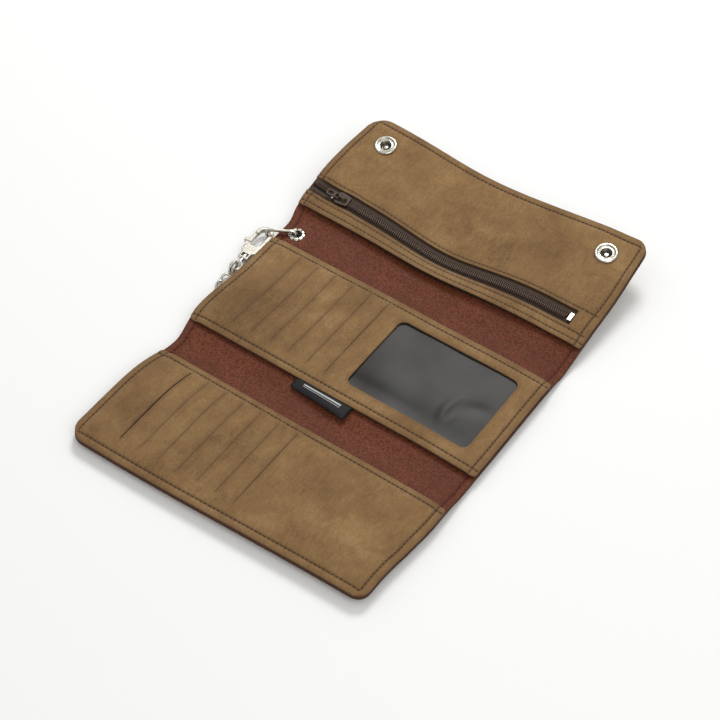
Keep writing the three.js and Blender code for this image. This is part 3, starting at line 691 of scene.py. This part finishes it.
def lathe(name, profile, matrix, material, segments=56, petals=None, hollow_shade=(0.0, 0.0)):
    """A turned piece from (radius, height) pairs in mm, closed on the axis or on itself.

    petals(angle, k) scales a radius; the last argument gives a radius and a height, and below that height and inside
    that radius the metal is painted dark, as painted shade in the hollow."""
    closed = profile[0] == profile[-1]
    rings = profile[:-1] if closed else profile
    vertices, index = [], []
    for k, (radius, height) in enumerate(rings):
        if radius < 1e-6:
            index.append([len(vertices)] * segments)
            vertices.append((0, 0, height))
            continue
        index.append(list(range(len(vertices), len(vertices) + segments)))
        for i in range(segments):
            angle = 2 * math.pi * i / segments
            scale = petals(angle, k) if petals else 1.0
            vertices.append((radius * scale * math.cos(angle), radius * scale * math.sin(angle), height))
    faces = []
    pairs = list(zip(index, index[1:])) + ([(index[-1], index[0])] if closed else [])
    for lower, upper in pairs:
        for i in range(segments):
            j = (i + 1) % segments
            face = [lower[i], lower[j], upper[j], upper[i]]
            face = [v for n, v in enumerate(face) if v not in face[:n]]
            if len(face) > 2:
                faces.append(tuple(face))
    made = make_object(name, [matrix @ (Vector(v) * MM) for v in vertices], faces, material)
    # painted shade: how deep each vertex lies in the hollow, for the material to paint it dark
    depth = np.array([hollow_shade[1] - v[2] if math.hypot(v[0], v[1]) < hollow_shade[0] else 0.0 for v in vertices])
    store(made.data, "hollow_shade", 0.9 * smooth(depth / 1.2))
    return made


def rounded(profile, radius=0.25, steps=3):
    """A profile with its corners rounded."""
    closed = profile[0] == profile[-1]
    points = [Vector(p) for p in (profile[:-1] if closed else profile)]
    made = []
    for k, here in enumerate(points):
        if not closed and k in (0, len(points) - 1):
            made.append(tuple(here))
            continue
        before, after = points[k - 1], points[(k + 1) % len(points)]
        reach = min(radius, (before - here).length * 0.45, (after - here).length * 0.45)
        start, end = here + (before - here).normalized() * reach, here + (after - here).normalized() * reach
        for n in range(steps + 1):
            t = n / steps
            made.append(tuple(start * (1 - t) ** 2 + here * 2 * t * (1 - t) + end * t * t))
    if closed:
        made.append(made[0])
    return made


# ---- camera

CAMERA_AZIMUTH = math.radians(34.11)
CAMERA_ELEVATION = math.radians(49.8)
CAMERA_ROLL = math.radians(1.25)
CAMERA_DISTANCE = 1118.3
CAMERA_ASIDE = (-4.5, -1.1)  # the line of sight passes this far right of and above the middle panel's centre


def make_camera():
    back = Vector((
        math.sin(CAMERA_AZIMUTH) * math.cos(CAMERA_ELEVATION),
        -math.cos(CAMERA_AZIMUTH) * math.cos(CAMERA_ELEVATION),
        math.sin(CAMERA_ELEVATION),
    ))
    level = Vector((0, 0, 1)).cross(back).normalized()
    up = back.cross(level)
    right = level * math.cos(CAMERA_ROLL) + up * math.sin(CAMERA_ROLL)
    up = back.cross(right)
    centre = Vector((0, -CENTRE_Y, 0))
    place_mm = centre + right * CAMERA_ASIDE[0] + up * CAMERA_ASIDE[1] + back * CAMERA_DISTANCE
    data = bpy.data.cameras.new("camera")
    data.lens = 100
    data.sensor_width = 36
    camera = bpy.data.objects.new("camera", data)
    turn = Matrix((right, up, back)).transposed().to_4x4()
    camera.matrix_world = Matrix.Translation(place_mm * MM) @ turn
    bpy.context.scene.camera = link(camera)


make_camera()


# ---- chain

LINK_WIRE = 0.75
LINK_HALF_LENGTH = 3.7
LINK_HALF_WIDTH = 2.75
LINK_TWIST = 0.75


def tube(centres, radius, closed=True, sides=8):
    """Vertices and faces of a tube along points; each ring stands square to the line."""
    centres = [Vector(c) for c in centres]
    count = len(centres)
    vertices, faces = [], []
    normal = None
    for i, here in enumerate(centres):
        ahead = centres[(i + 1) % count] if closed or i < count - 1 else here
        behind = centres[i - 1] if closed or i > 0 else here
        tangent = (ahead - behind).normalized()
        if normal is None:
            normal = tangent.orthogonal().normalized()
        normal = (normal - tangent * normal.dot(tangent)).normalized()
        side = tangent.cross(normal)
        for k in range(sides):
            angle = 2 * math.pi * k / sides
            vertices.append(here + (normal * math.cos(angle) + side * math.sin(angle)) * radius)
    rings = count if closed else count - 1
    shift = 0
    if closed:  # the last ring's vertices meet the nearest ones of the first
        last = vertices[(count - 1) * sides]
        shift = min(range(sides), key=lambda k: (vertices[k] - last).length)
    for i in range(rings):
        wrap = i == count - 1
        for k in range(sides):
            a, b = i * sides + k, i * sides + (k + 1) % sides
            c = (k + shift) % sides if wrap else a + sides
            d = (k + 1 + shift) % sides if wrap else (i + 1) * sides + (k + 1) % sides
            faces.append((a, b, d, c))
    if not closed:
        faces.append(tuple(reversed(range(sides))))
        faces.append(tuple((count - 1) * sides + k for k in range(sides)))
    return vertices, faces


def spline(points, samples=12):
    """A smooth line through points."""
    points = np.array(points, float)
    padded = np.concatenate([[2 * points[0] - points[1]], points, [2 * points[-1] - points[-2]]])
    made = []
    for a, b, c, d in zip(padded, padded[1:], padded[2:], padded[3:]):
        for t in np.arange(samples) / samples:
            made.append(0.5 * (2 * b + (c - a) * t + (2 * a - 5 * b + 4 * c - d) * t * t
                               + (3 * b - a - 3 * c + d) * t ** 3))
    return np.array([*made, points[-1]])


def make_chain():
    route = spline([(x, y - CENTRE_Y, CHAIN_Z) for x, y in CHAIN_ROUTE])
    pitch = 2 * (LINK_HALF_LENGTH - LINK_WIRE)
    centres, ways = resample(route, pitch)
    vertices, faces = [], []
    for (x, y, z), (dx, dy, _) in zip(centres, ways):
        ring = []
        for n in range(20):
            angle = 2 * math.pi * n / 20
            along, aside = LINK_HALF_LENGTH * math.cos(angle), LINK_HALF_WIDTH * math.sin(angle)
            ring.append((x + dx * along - dy * aside, y + dy * along + dx * aside,
                         z + LINK_TWIST * math.sin(2 * angle)))
        link_vertices, link_faces = tube([Vector(p) * MM for p in ring], LINK_WIRE * MM)
        base = len(vertices)
        vertices += link_vertices
        faces += [tuple(base + v for v in face) for face in link_faces]
    chain = make_object("curb_chain", vertices, faces, NICKEL)
    attach(chain, "middle", "chain")


make_chain()


# ---- hide and lining

SEAM_INSET = 4.3
SIDE_X = HALF_WIDTH - SEAM_INSET
SEAM_CORNERS = (SEAM_INSET + 1.5,) * 4  # the seam turns sharply at the corners
EYELET_HOLE = (EYELET[0] - 3.2, EYELET[0] + 3.2, EYELET[1] - 3.2, EYELET[1] + 3.2, 3.2)
PARTING = 0.0  # where the two halves of the hide meet, under the middle panel


def y_of(u):
    return float(place([(0.0, u, 0.0)])[0][1])


UPPER_BLEND = ("middle", "flap", (0, y_of(FLAP_BEND[0]), 0), (0, y_of(FLAP_BEND[1]), 0))
LOWER_BLEND = ("middle", "lower_panel", (0, y_of(LOWER_BEND[0]), 0), (0, y_of(LOWER_BEND[1]), 0))


def side_paths(low, high):
    """The left and the right side seam between two values of u."""
    return [[(x, low), (x, high)] for x in (-SIDE_X, SIDE_X)]


def perimeter_part(low, high):
    """The perimeter seam's paths between two values of u."""
    corners = outline(-HALF_WIDTH, HALF_WIDTH, LOWER_EDGE, FLAP_EDGE, SEAM_CORNERS, SEAM_INSET)
    half = len(corners) // 2
    if low <= LOWER_EDGE:
        return [[(-SIDE_X, high), *corners[:half], (SIDE_X, high)]]
    if high >= FLAP_EDGE:
        return [[(SIDE_X, low), *corners[half:], (-SIDE_X, low)]]
    return side_paths(low, high)


def layer_halves(name, material, slot, inset, heights, nodes, seamed=False, **more):
    """A layer of the whole wallet in a lower and an upper half, each reaching across one fold."""
    halves = (
        ("lower", LOWER_EDGE + inset, PARTING, (*CORNERS[:2], 0, 0), (), LOWER_BLEND),
        ("upper", PARTING, FLAP_EDGE - inset, (0, 0, *CORNERS[2:]), (EYELET_HOLE,), UPPER_BLEND),
    )
    for (half, low, high, radii, holes, blend), replaced in zip(halves, nodes):
        made = sheet_piece(f"{name}_{half}", material, slot, (-HALF_WIDTH + inset, HALF_WIDTH - inset, low, high),
                           heights, radii, holes=holes, seams=side_paths(low, high) if seamed else (), step=2.6,
                           **more)
        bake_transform(made)
        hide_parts(*replaced)


BESIDE_SIDE_SEAMS = around(-SIDE_X) + around(SIDE_X)
layer_halves("hide", NUBUCK, "outer_leather", 0, HIDE_LAYER, (("lower_shell",), ("flap_shell", "middle_shell")),
             through_u=around(LOWER_FOLD) + around(FLAP_FOLD), edge=0.35)
layer_halves("lining", PEBBLED, "lining", 0.15, LINING_LAYER, (("lower_lining",), ("flap_lining", "middle_lining")),
             seamed=True, through_x=BESIDE_SIDE_SEAMS, edge=0.2)


# ---- pockets

FLAP_LOW = FLAP_FOLD + 6.2  # the flap face's lower edge
CROSS_FACE = (-HALF_WIDTH + FACE_INSET, HALF_WIDTH - FACE_INSET)  # from side to side of a face


def drop(distance, depth, reach):
    """How far a pocket's face comes down to the lining towards a sewn edge."""
    return -depth * (1 - smooth(distance / reach))


def hump(value, low, high):
    """0 at low and high and beyond, and an arch up to 1 between them."""
    return np.sin(np.clip((value - low) / (high - low), 0, 1) * math.pi)


def middle_shape(x, u, s):
    """The middle face: full over its cards, down at the left, proud at the lower right corner."""
    left, right = x + HALF_WIDTH, HALF_WIDTH - x
    low, high = u + MIDDLE_HALF, MIDDLE_HALF - u
    down = drop(left, 1.9, 9) + drop(high, 1.5, 8) + drop(low, 0.9, 7) + drop(right, 0.8, 7)
    proud = 0.4 * smooth((x - 10) / 80) * smooth((12 - low) / 12)
    dome = 0.3 * hump(x, -HALF_WIDTH, HALF_WIDTH) * hump(u, -MIDDLE_HALF, MIDDLE_HALF)
    return np.maximum(down, -2.1) + proud + dome


def lower_shape(x, u, s):
    """The lower face: flat over its cards, and down at all four edges."""
    left, right = x + HALF_WIDTH, HALF_WIDTH - x
    low, high = u - LOWER_EDGE, LOWER_MOUTH - u
    down = drop(left, 2.0, 10) + drop(right, 1.9, 9) + drop(low, 1.9, 10) + drop(high, 1.2, 8)
    return np.maximum(down, -2.1) + 0.2 * hump(x, -HALF_WIDTH, HALF_WIDTH)


def flap_shape(x, u, s):
    """The flap's face: down at its sewn edges, and a little lifted at the middle of its lower edge."""
    left, right = x + HALF_WIDTH, HALF_WIDTH - x
    low, high = u - FLAP_LOW, FLAP_EDGE - u
    down = drop(left, 1.1, 7) + drop(right, 1.1, 7) + drop(high, 1.1, 8)
    lifted = 1.6 * bell(x, 0, 60) * (1 - smooth(low / 9))
    return (np.maximum(down, -1.2) + lifted) * calm(x, u)


def slit_holes(slits, widths, low, high):
    """Each slit as a narrow hole; their ends aren't quite in line."""
    ends = (0, 0.8, 0.3, 1.1, 0.5, 0, 0.4)
    return [(x - width / 2, x + width / 2, low + end, high - end, 0) for x, width, end in zip(slits, widths, ends)]


def gape(slits, amounts, run):
    """Lifts the leather beside each slit, most on its left and at its middle."""
    def lift(x, u):
        total = 0 * x
        for at, amount in zip(slits, amounts):
            beside = np.where(x < at, np.exp(-(at - x) / 2.6), 0.25 * np.exp(-(x - at) / 1.2))
            total = total + amount * hump(u, *run) * beside
        return total
    return lift


def card_face(name, body, node, span, radii, slits, widths, amounts, run, seams, seam_lines, shape, holes=()):
    """A pocket face of nubuck with its row of card slits."""
    lift = gape(slits, amounts, run)
    made = sheet_piece(
        name, NUBUCK, "outer_leather", (*CROSS_FACE, *span), FACE_LAYER, radii,
        holes=[*holes, *slit_holes(slits, widths, *run)], seams=seams,
        slits=[[(x, run[0]), (x, run[1])] for x in slits],
        through_x=BESIDE_SIDE_SEAMS + [x + offset for x in slits for offset in (-1.4, -0.7, 0.7, 1.4)],
        through_u=[line for value in seam_lines for line in around(value)],
        shape=lambda x, u, s: shape(x, u, s) + lift(x, u))
    attach(made, body, node)


def cross_seam(u, end=CROSS_SEAM_END):
    """A seam across the wallet, from its left edge."""
    return [(-CROSS_SEAM_END, u), (end, u)]


MIDDLE_SEAMS = [cross_seam(35.2), cross_seam(-35.4), *side_paths(0.5 - MIDDLE_HALF, MIDDLE_HALF - 0.5)]
card_face("middle_pocket_leather", "middle", "middle_pocket_face", (-MIDDLE_HALF, MIDDLE_HALF), (2, 2, 2, 2),
          MIDDLE_SLITS, (0.05, 0.06, 0.06, 0.08, 0.10, 0.20), (0.1, 0.12, 0.1, 0.1, 0.12, 0.35), MIDDLE_SLIT_RUN,
          MIDDLE_SEAMS, (-35.4, 35.2), middle_shape, holes=[(*WINDOW, 4.5)])

LOWER_SEAMS = [*perimeter_part(LOWER_EDGE, LOWER_MOUTH - 0.4), cross_seam(-69.6)]
card_face("lower_pocket_leather", "lower_panel", "lower_pocket_face", (LOWER_EDGE + FACE_INSET, LOWER_MOUTH),
          (*CORNERS[:2], 2, 2), LOWER_SLITS, (0.55, 0.07, 0.08, 0.08, 0.08, 0.10, 0.20),
          (0.7, 0.08, 0.12, 0.08, 0.08, 0.1, 0.3), LOWER_SLIT_RUN, LOWER_SEAMS,
          (-69.6, LOWER_EDGE + SEAM_INSET), lower_shape)

SLOT_LOW = ZIP_U - SLOT_HALF + 0.4
SLOT_HIGH = ZIP_U + SLOT_HALF + 0.8
SLOT = (-HALF_WIDTH - 1, SLOT_END, SLOT_LOW, SLOT_HIGH, 0)
SLOT_SEAMS = (SLOT_LOW - 2.4, SLOT_HIGH + 2.4)
ZIP_SEAMS = [cross_seam(FLAP_LOW + 3.4), cross_seam(SLOT_SEAMS[0], 93.4), cross_seam(SLOT_SEAMS[1], 93.0)]
FLAP_SIDE_END = 120.0  # where the flap's side seams go over into the seam round its free edge
FLAP_EDGE_SEAMS = [
    [(SIDE_X, FLAP_LOW + 0.4), (SIDE_X, FLAP_SIDE_END)],
    [(-SIDE_X, FLAP_LOW + 0.4), (-SIDE_X, SLOT_LOW)],
    [*perimeter_part(FLAP_SIDE_END, FLAP_EDGE)[0], (-SIDE_X, SLOT_HIGH)],
]
SOCKET_HOLES = [(x - 4.3, x + 4.3, SOCKET[1] - 4.3, SOCKET[1] + 4.3, 4.3) for x in (-SOCKET[0], SOCKET[0])]
flap_face = sheet_piece(
    "flap_pocket_leather", NUBUCK, "outer_leather", (*CROSS_FACE, FLAP_LOW, FLAP_EDGE - FACE_INSET),
    FLAP_FACE_LAYER, (1, 1, *CORNERS[2:]), holes=[SLOT, *SOCKET_HOLES], seams=ZIP_SEAMS + FLAP_EDGE_SEAMS,
    through_x=BESIDE_SIDE_SEAMS,
    through_u=[line for u in (FLAP_LOW + 3.4, *SLOT_SEAMS, FLAP_EDGE - SEAM_INSET) for line in around(u)],
    shape=flap_shape)
attach(flap_face, "flap", "flap_pocket_face")


def lining_pad(name, body, span, heights, shape, replaced, radii=(1, 1, 1, 1)):
    """The pocket linings behind a face, as the one dark layer that shows in the slits and at the edges."""
    made = sheet_piece(name, POCKET_CLOTH, "nylon", (-93.6, 93.6, *span), heights, radii, step=4.0, edge=0.15,
                       shape=lambda x, u, s: shape(x, u, s) * (0.25 + 0.75 * s) - 0.35 * s)
    attach(made, body, *replaced)


lining_pad("middle_card_pockets", "middle", (-38.2, 38.2), MIDDLE_PAD_LAYER, middle_shape,
           [f"middle_card_leaf_{i}" for i in range(1, 7)])
lining_pad("lower_card_pockets", "lower_panel", (LOWER_EDGE + 1.5, -67.4), LOWER_PAD_LAYER, lower_shape,
           [f"lower_card_leaf_{i}" for i in range(1, 8)], (*CORNERS[:2], 1, 1))
lining_pad("zip_pocket_cloth", "flap", (FLAP_LOW + 1.0, FLAP_EDGE - 1.5), BAG_LAYER,
           lambda x, u, s: 0 * x, ["zip_pocket_bag"], (1, 1, *CORNERS[2:]))

backing = sheet_piece("id_backing_sheet", BACKING_CLOTH, "nylon", (0.8, 84.4, -31, 31), BACKING_LAYER, (1, 1, 1, 1),
                      step=3, edge=0, shape=lambda x, u, s: middle_shape(x, u, s) * 0.4)
attach(backing, "middle", "id_backing")


def film_shape(x, u, s):
    """A slack film: a short arched wrinkle and a hollow near its lower right corner, and a dip along its lower edge."""
    away = np.hypot(x - 78, u + 14)
    turn = np.arctan2(u + 14, 78 - x)
    ridge = 0.42 * bell(away, 20 + 4 * turn, 2.4) * bell(turn, 0.15, 0.5)
    second = 0.15 * bell(away, 14 - 3 * turn, 1.9) * bell(turn, -0.1, 0.35)
    hollow = -0.4 * bell(away, 15, 4) * bell(turn, 1.05, 0.5)
    hang = -0.25 * bell(u, -22, 5) * smooth((62 - x) / 30)
    return ridge + second + hollow + hang + 0.12 * np.sin(x * 0.16 + u * 0.11)


film = sheet_piece("id_window_film", FILM, "window_film", (1.4, 83.8, -30.4, 30.4), FILM_LAYER, (1, 1, 1, 1),
                   step=1.5, edge=0, shape=lambda x, u, s: film_shape(x, u, s) + 0.5 * middle_shape(x, u, s))
attach(film, "middle", "id_window")


# ---- seams


def surface(shape, top):
    """The height of a pocket face's upper side, for its stitches."""
    def height(x, u):
        return top + float(shape(np.array([x]), np.array([u]), np.array([1.0]))[0]) - 0.12
    return height


def outer_face(x, u):
    return 0.0


stitches("middle_seams", MIDDLE_SEAMS, surface(middle_shape, FACE_LAYER[1]), "middle")
stitches("lower_seams", LOWER_SEAMS, surface(lower_shape, FACE_LAYER[1]), "lower_panel")
stitches("flap_seams", ZIP_SEAMS + FLAP_EDGE_SEAMS, surface(flap_shape, FLAP_FACE_LAYER[1]), "flap")

# The perimeter seam across each fold, on the lining and on the hide's outer face.
for name, low, high, blend in (("lower", -65.8, -39.6, LOWER_BLEND), ("upper", 39.8, 66.8, UPPER_BLEND)):
    sides = side_paths(low, high)
    stitches(f"{name}_strip_seam_inside", sides, lambda x, u: 2.25, None, RED_THREAD, blend)
    stitches(f"{name}_strip_seam_outside", sides, outer_face, None, blend=blend, facing=-1)

for name, low, high, body in (
        ("lower", LOWER_EDGE, LOWER_MOUTH, "lower_panel"), ("middle", -MIDDLE_HALF, MIDDLE_HALF, "middle"),
        ("flap", 67.0, FLAP_EDGE, "flap")):
    stitches(f"{name}_outside_seam", perimeter_part(low, high), outer_face, body, facing=-1)


# ---- zip


ZIP_SIDES = (("upper", 1), ("lower", -1))
TOOTH_PITCH = 1.25
COIL = (-75.0, 79.4)

for side, sign in ZIP_SIDES:
    near, far = sorted((ZIP_U + sign * 0.9, ZIP_U + sign * 9.5))
    tape = sheet_piece(f"zip_cloth_{side}", TAPE_CLOTH, "zip_nylon", (-94.2, SLOT_END + 4, near, far), TAPE_LAYER,
                       step=1.6, edge=0)
    attach(tape, "flap", f"zip_tape_{side}")


def zip_coil(side, sign):
    """One coil: a row of nylon loops whose heads reach past the zip's middle line."""
    profile = [(2.35, 3.55, 0.34), (2.3, 4.35, 0.36), (1.7, 4.75, 0.36), (0.8, 4.8, 0.38), (0.1, 4.6, 0.44),
               (-0.12, 4.15, 0.46), (0.1, 3.7, 0.42), (0.9, 3.55, 0.32)]
    vertices, faces = [], []
    sides = 6
    for n in range(int((COIL[1] - COIL[0]) / TOOTH_PITCH)):
        x = COIL[0] + (n + (0.5 if sign > 0 else 0.0)) * TOOTH_PITCH
        line = [Vector((x, ZIP_U + sign * v, w)) for v, w, _ in profile]
        made, quads = tube(line, 1.0, closed=False, sides=sides)
        base = len(vertices)
        for k, point in enumerate(made):
            ring = k // sides
            vertices.append(line[ring] + (point - line[ring]) * profile[ring][2])
        faces += [tuple(base + v for v in quad) for quad in quads]
    coil = make_object(f"zip_teeth_{side}", place(vertices), faces, TEETH)
    attach(coil, "flap", f"zip_coil_{side}")
    anchor = place([(0, ZIP_U + sign * 2.6, 3.5)])[0]
    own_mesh(coil)


def tape_ridge(side, sign):
    """The woven cord along each coil that sews it to its tape."""
    line = [(x, ZIP_U + sign * 2.95, 3.45) for x in np.linspace(-92, 81.5, 120)]
    vertices, faces = tube([Vector(p) for p in line], 0.36, closed=False, sides=6)
    cord = make_object(f"zip_sewing_{side}", place(vertices), faces, THREAD)
    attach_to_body(cord, "flap")


for make in (zip_coil, tape_ridge):
    for side, sign in ZIP_SIDES:
        make(side, sign)


# ---- label


def make_label():
    """A woven tag, folded double, sewn in under the middle face's lower edge."""
    loop = [(-37.0, 3.55), (-40.0, 3.6), (-44.0, 3.65), (-46.6, 3.5), (-47.5, 3.2), (-46.6, 2.9), (-44.0, 2.75),
            (-40.0, 2.75), (-37.0, 2.8)]
    loop = spline(loop, 4)
    run = np.concatenate([[0], np.cumsum([math.dist(a, b) for a, b in zip(loop, loop[1:])])])
    thick = 0.16
    vertices, flats, faces = [], [], []
    columns, rows = 30, len(loop)
    for i in range(columns + 1):
        x = -20.0 + 37.0 * i / columns
        for side in (1, -1):
            for k, (u, w) in enumerate(loop):
                du, dw = loop[min(k + 1, rows - 1)] - loop[max(k - 1, 0)]
                size = math.hypot(du, dw)
                out = float(smooth((-38 - u) / 9))
                lift = 0.4 + out * (0.9 + 0.7 * math.sin(0.12 * (x + 8)))
                slant = 1.6 * (x / 20) * out
                vertices.append((x, u - slant + side * thick * dw / size, w - side * thick * du / size + lift))
                flats.append((x, run[k], 0.0))
    for i in range(columns):
        for side in range(2):
            for k in range(rows - 1):
                a = (i * 2 + side) * rows + k
                b = a + 2 * rows
                quad = (a, a + 1, b + 1, b)
                faces.append(quad if side else tuple(reversed(quad)))
        for k in (0, rows - 1):
            a, b = i * 2 * rows + k, (i * 2 + 1) * rows + k
            quad = (a, b, b + 2 * rows, a + 2 * rows)
            faces.append(quad if k else tuple(reversed(quad)))
    for i in (0, columns):
        for k in range(rows - 1):
            a, b = i * 2 * rows + k, (i * 2 + 1) * rows + k
            quad = (a, a + 1, b + 1, b)
            faces.append(quad if i == 0 else tuple(reversed(quad)))
    made = make_object("woven_tag", place(vertices), faces, LABEL)
    store(made.data, "flat", np.array(flats))
    attach(made, "middle", "label_tag")


make_label()


# ---- metal

SOCKET_PROFILE = [
    (1.75, 2.7), (4.1, 2.7), (4.1, 4.75), (6.3, 4.75), (7.0, 5.05), (6.9, 5.55), (6.4, 6.0), (5.7, 6.1), (5.2, 5.8),
    (5.0, 5.25), (4.4, 5.05), (4.0, 5.3), (3.6, 5.3), (3.3, 4.9), (3.2, 4.1), (2.6, 3.8), (2.4, 3.2), (1.75, 3.1),
    (1.75, 2.7),
]
CAP_PROFILE = [(0, -2.0), (3.5, -1.85), (5.6, -1.3), (6.9, -0.5), (6.9, -0.1), (1.3, -0.1), (1.3, 3.3), (0, 3.3)]
STUD_PROFILE = [
    (1.7, -0.1), (1.7, -2.4), (0, -2.4), (0, -3.6), (2.0, -3.6), (2.8, -3.2), (2.9, -2.6), (2.5, -1.9),
    (2.5, -1.1), (3.2, -0.9), (5.0, -0.8), (5.7, -0.45), (5.6, -0.1), (1.7, -0.1),
]
EYELET_PROFILE = [
    (2.75, -0.5), (3.3, -0.7), (4.9, -0.7), (5.0, -0.4), (4.9, -0.15), (3.25, -0.15), (3.15, 0), (3.15, 2.3),
    (4.9, 2.3), (5.25, 2.5), (4.7, 3.0), (3.6, 3.2), (2.9, 2.9), (2.75, 2.4), (2.75, -0.5),
]
PETAL_COUNT = 9


def petal(angle, k):
    """The eyelet's rim is split into petals; the rest of it is round."""
    notch = abs(math.cos(angle * PETAL_COUNT / 2)) ** 14
    return 1 - 0.2 * notch if EYELET_SMOOTH[k][0] > 3.6 and EYELET_SMOOTH[k][1] > 2.2 else 1.0


EYELET_SMOOTH = rounded(EYELET_PROFILE, 0.2)

for side, sign in (("left", -1), ("right", 1)):
    at_socket = fitting_matrix(sign * SOCKET[0], SOCKET[1])
    at_stud = fitting_matrix(sign * STUD[0], STUD[1])
    attach(lathe(f"socket_{side}", rounded(SOCKET_PROFILE), at_socket, NICKEL, hollow_shade=(3.4, 5.0)),
           "flap", f"snap_socket_{side}")
    attach(lathe(f"cap_{side}", rounded(CAP_PROFILE), at_socket, NICKEL), "flap", f"snap_cap_{side}")
    attach(lathe(f"stud_{side}", rounded(STUD_PROFILE), at_stud, NICKEL),
           "lower_panel", f"snap_stud_{side}", f"snap_post_{side}")
attach(lathe("eyelet_metal", EYELET_SMOOTH, fitting_matrix(*EYELET), NICKEL, 108, petal, (3.2, 2.9)),
       "middle", "eyelet")


# ---- CAD pieces that stay

for node_name, node_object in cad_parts.items():
    if node_object.hide_render:
        continue
    plain = any(word in node_name for word in ("spring", "pin", "stop"))
    finish = BRONZE if node_name in ("zip_slider", "zip_pull") else STEEL if plain else NICKEL
    node_object.data.materials.clear()
    node_object.data.materials.append(finish)


# ---- floor, light


def make_floor():
    s = Shader("floor")
    s.set(Base_Color=(0.86, 0.86, 0.86, 1), Roughness=0.9, Specular_IOR_Level=0.1)
    reach = 4.0
    corners = [(-reach, -reach, 0), (reach, -reach, 0), (reach, reach, 0), (-reach, reach, 0)]
    mesh = bpy.data.meshes.new("floor")
    mesh.from_pydata(corners, [], [(0, 1, 2, 3)])
    mesh.materials.append(s.material)
    floor = link(bpy.data.objects.new("floor", mesh))
    floor.location.z = -0.0002  # just clear of what lies on it


def area_light(name, at, size, power):
    """A round soft light that faces the wallet."""
    data = bpy.data.lights.new(name, "AREA")
    data.shape = "DISK"
    data.size = size
    data.energy = power
    light = link(bpy.data.objects.new(name, data))
    light.location = at
    light.rotation_mode = "QUATERNION"
    light.rotation_quaternion = (-Vector(at)).to_track_quat("-Z", "Y")


make_floor()
bpy.context.scene.view_settings.view_transform = "Standard"
area_light("key", (-0.35, 0.95, 1.25), 0.6, 13)
area_light("fill", (0.9, -0.6, 1.1), 1.2, 5)


def make_world():
    """A white studio that darkens towards its walls, so that metal has something to mirror."""
    world = bpy.data.worlds.new("studio")
    world.use_nodes = True
    tree = world.node_tree
    where = tree.nodes.new("ShaderNodeTexCoord")
    split = tree.nodes.new("ShaderNodeSeparateXYZ")
    band = tree.nodes.new("ShaderNodeValToRGB")
    tree.links.new(where.outputs["Generated"], split.inputs["Vector"])
    tree.links.new(split.outputs["Z"], band.inputs["Fac"])
    tree.links.new(band.outputs["Color"], tree.nodes["Background"].inputs["Color"])
    stops = ((0.12, (0.10, 0.10, 0.10, 1)), (0.55, (1.0, 1.0, 0.98, 1)))
    for element, (at, colour) in zip(band.color_ramp.elements, stops):
        element.position, element.color = at, colour
    tree.nodes["Background"].inputs["Strength"].default_value = 0.72
    bpy.context.scene.world = world


make_world()
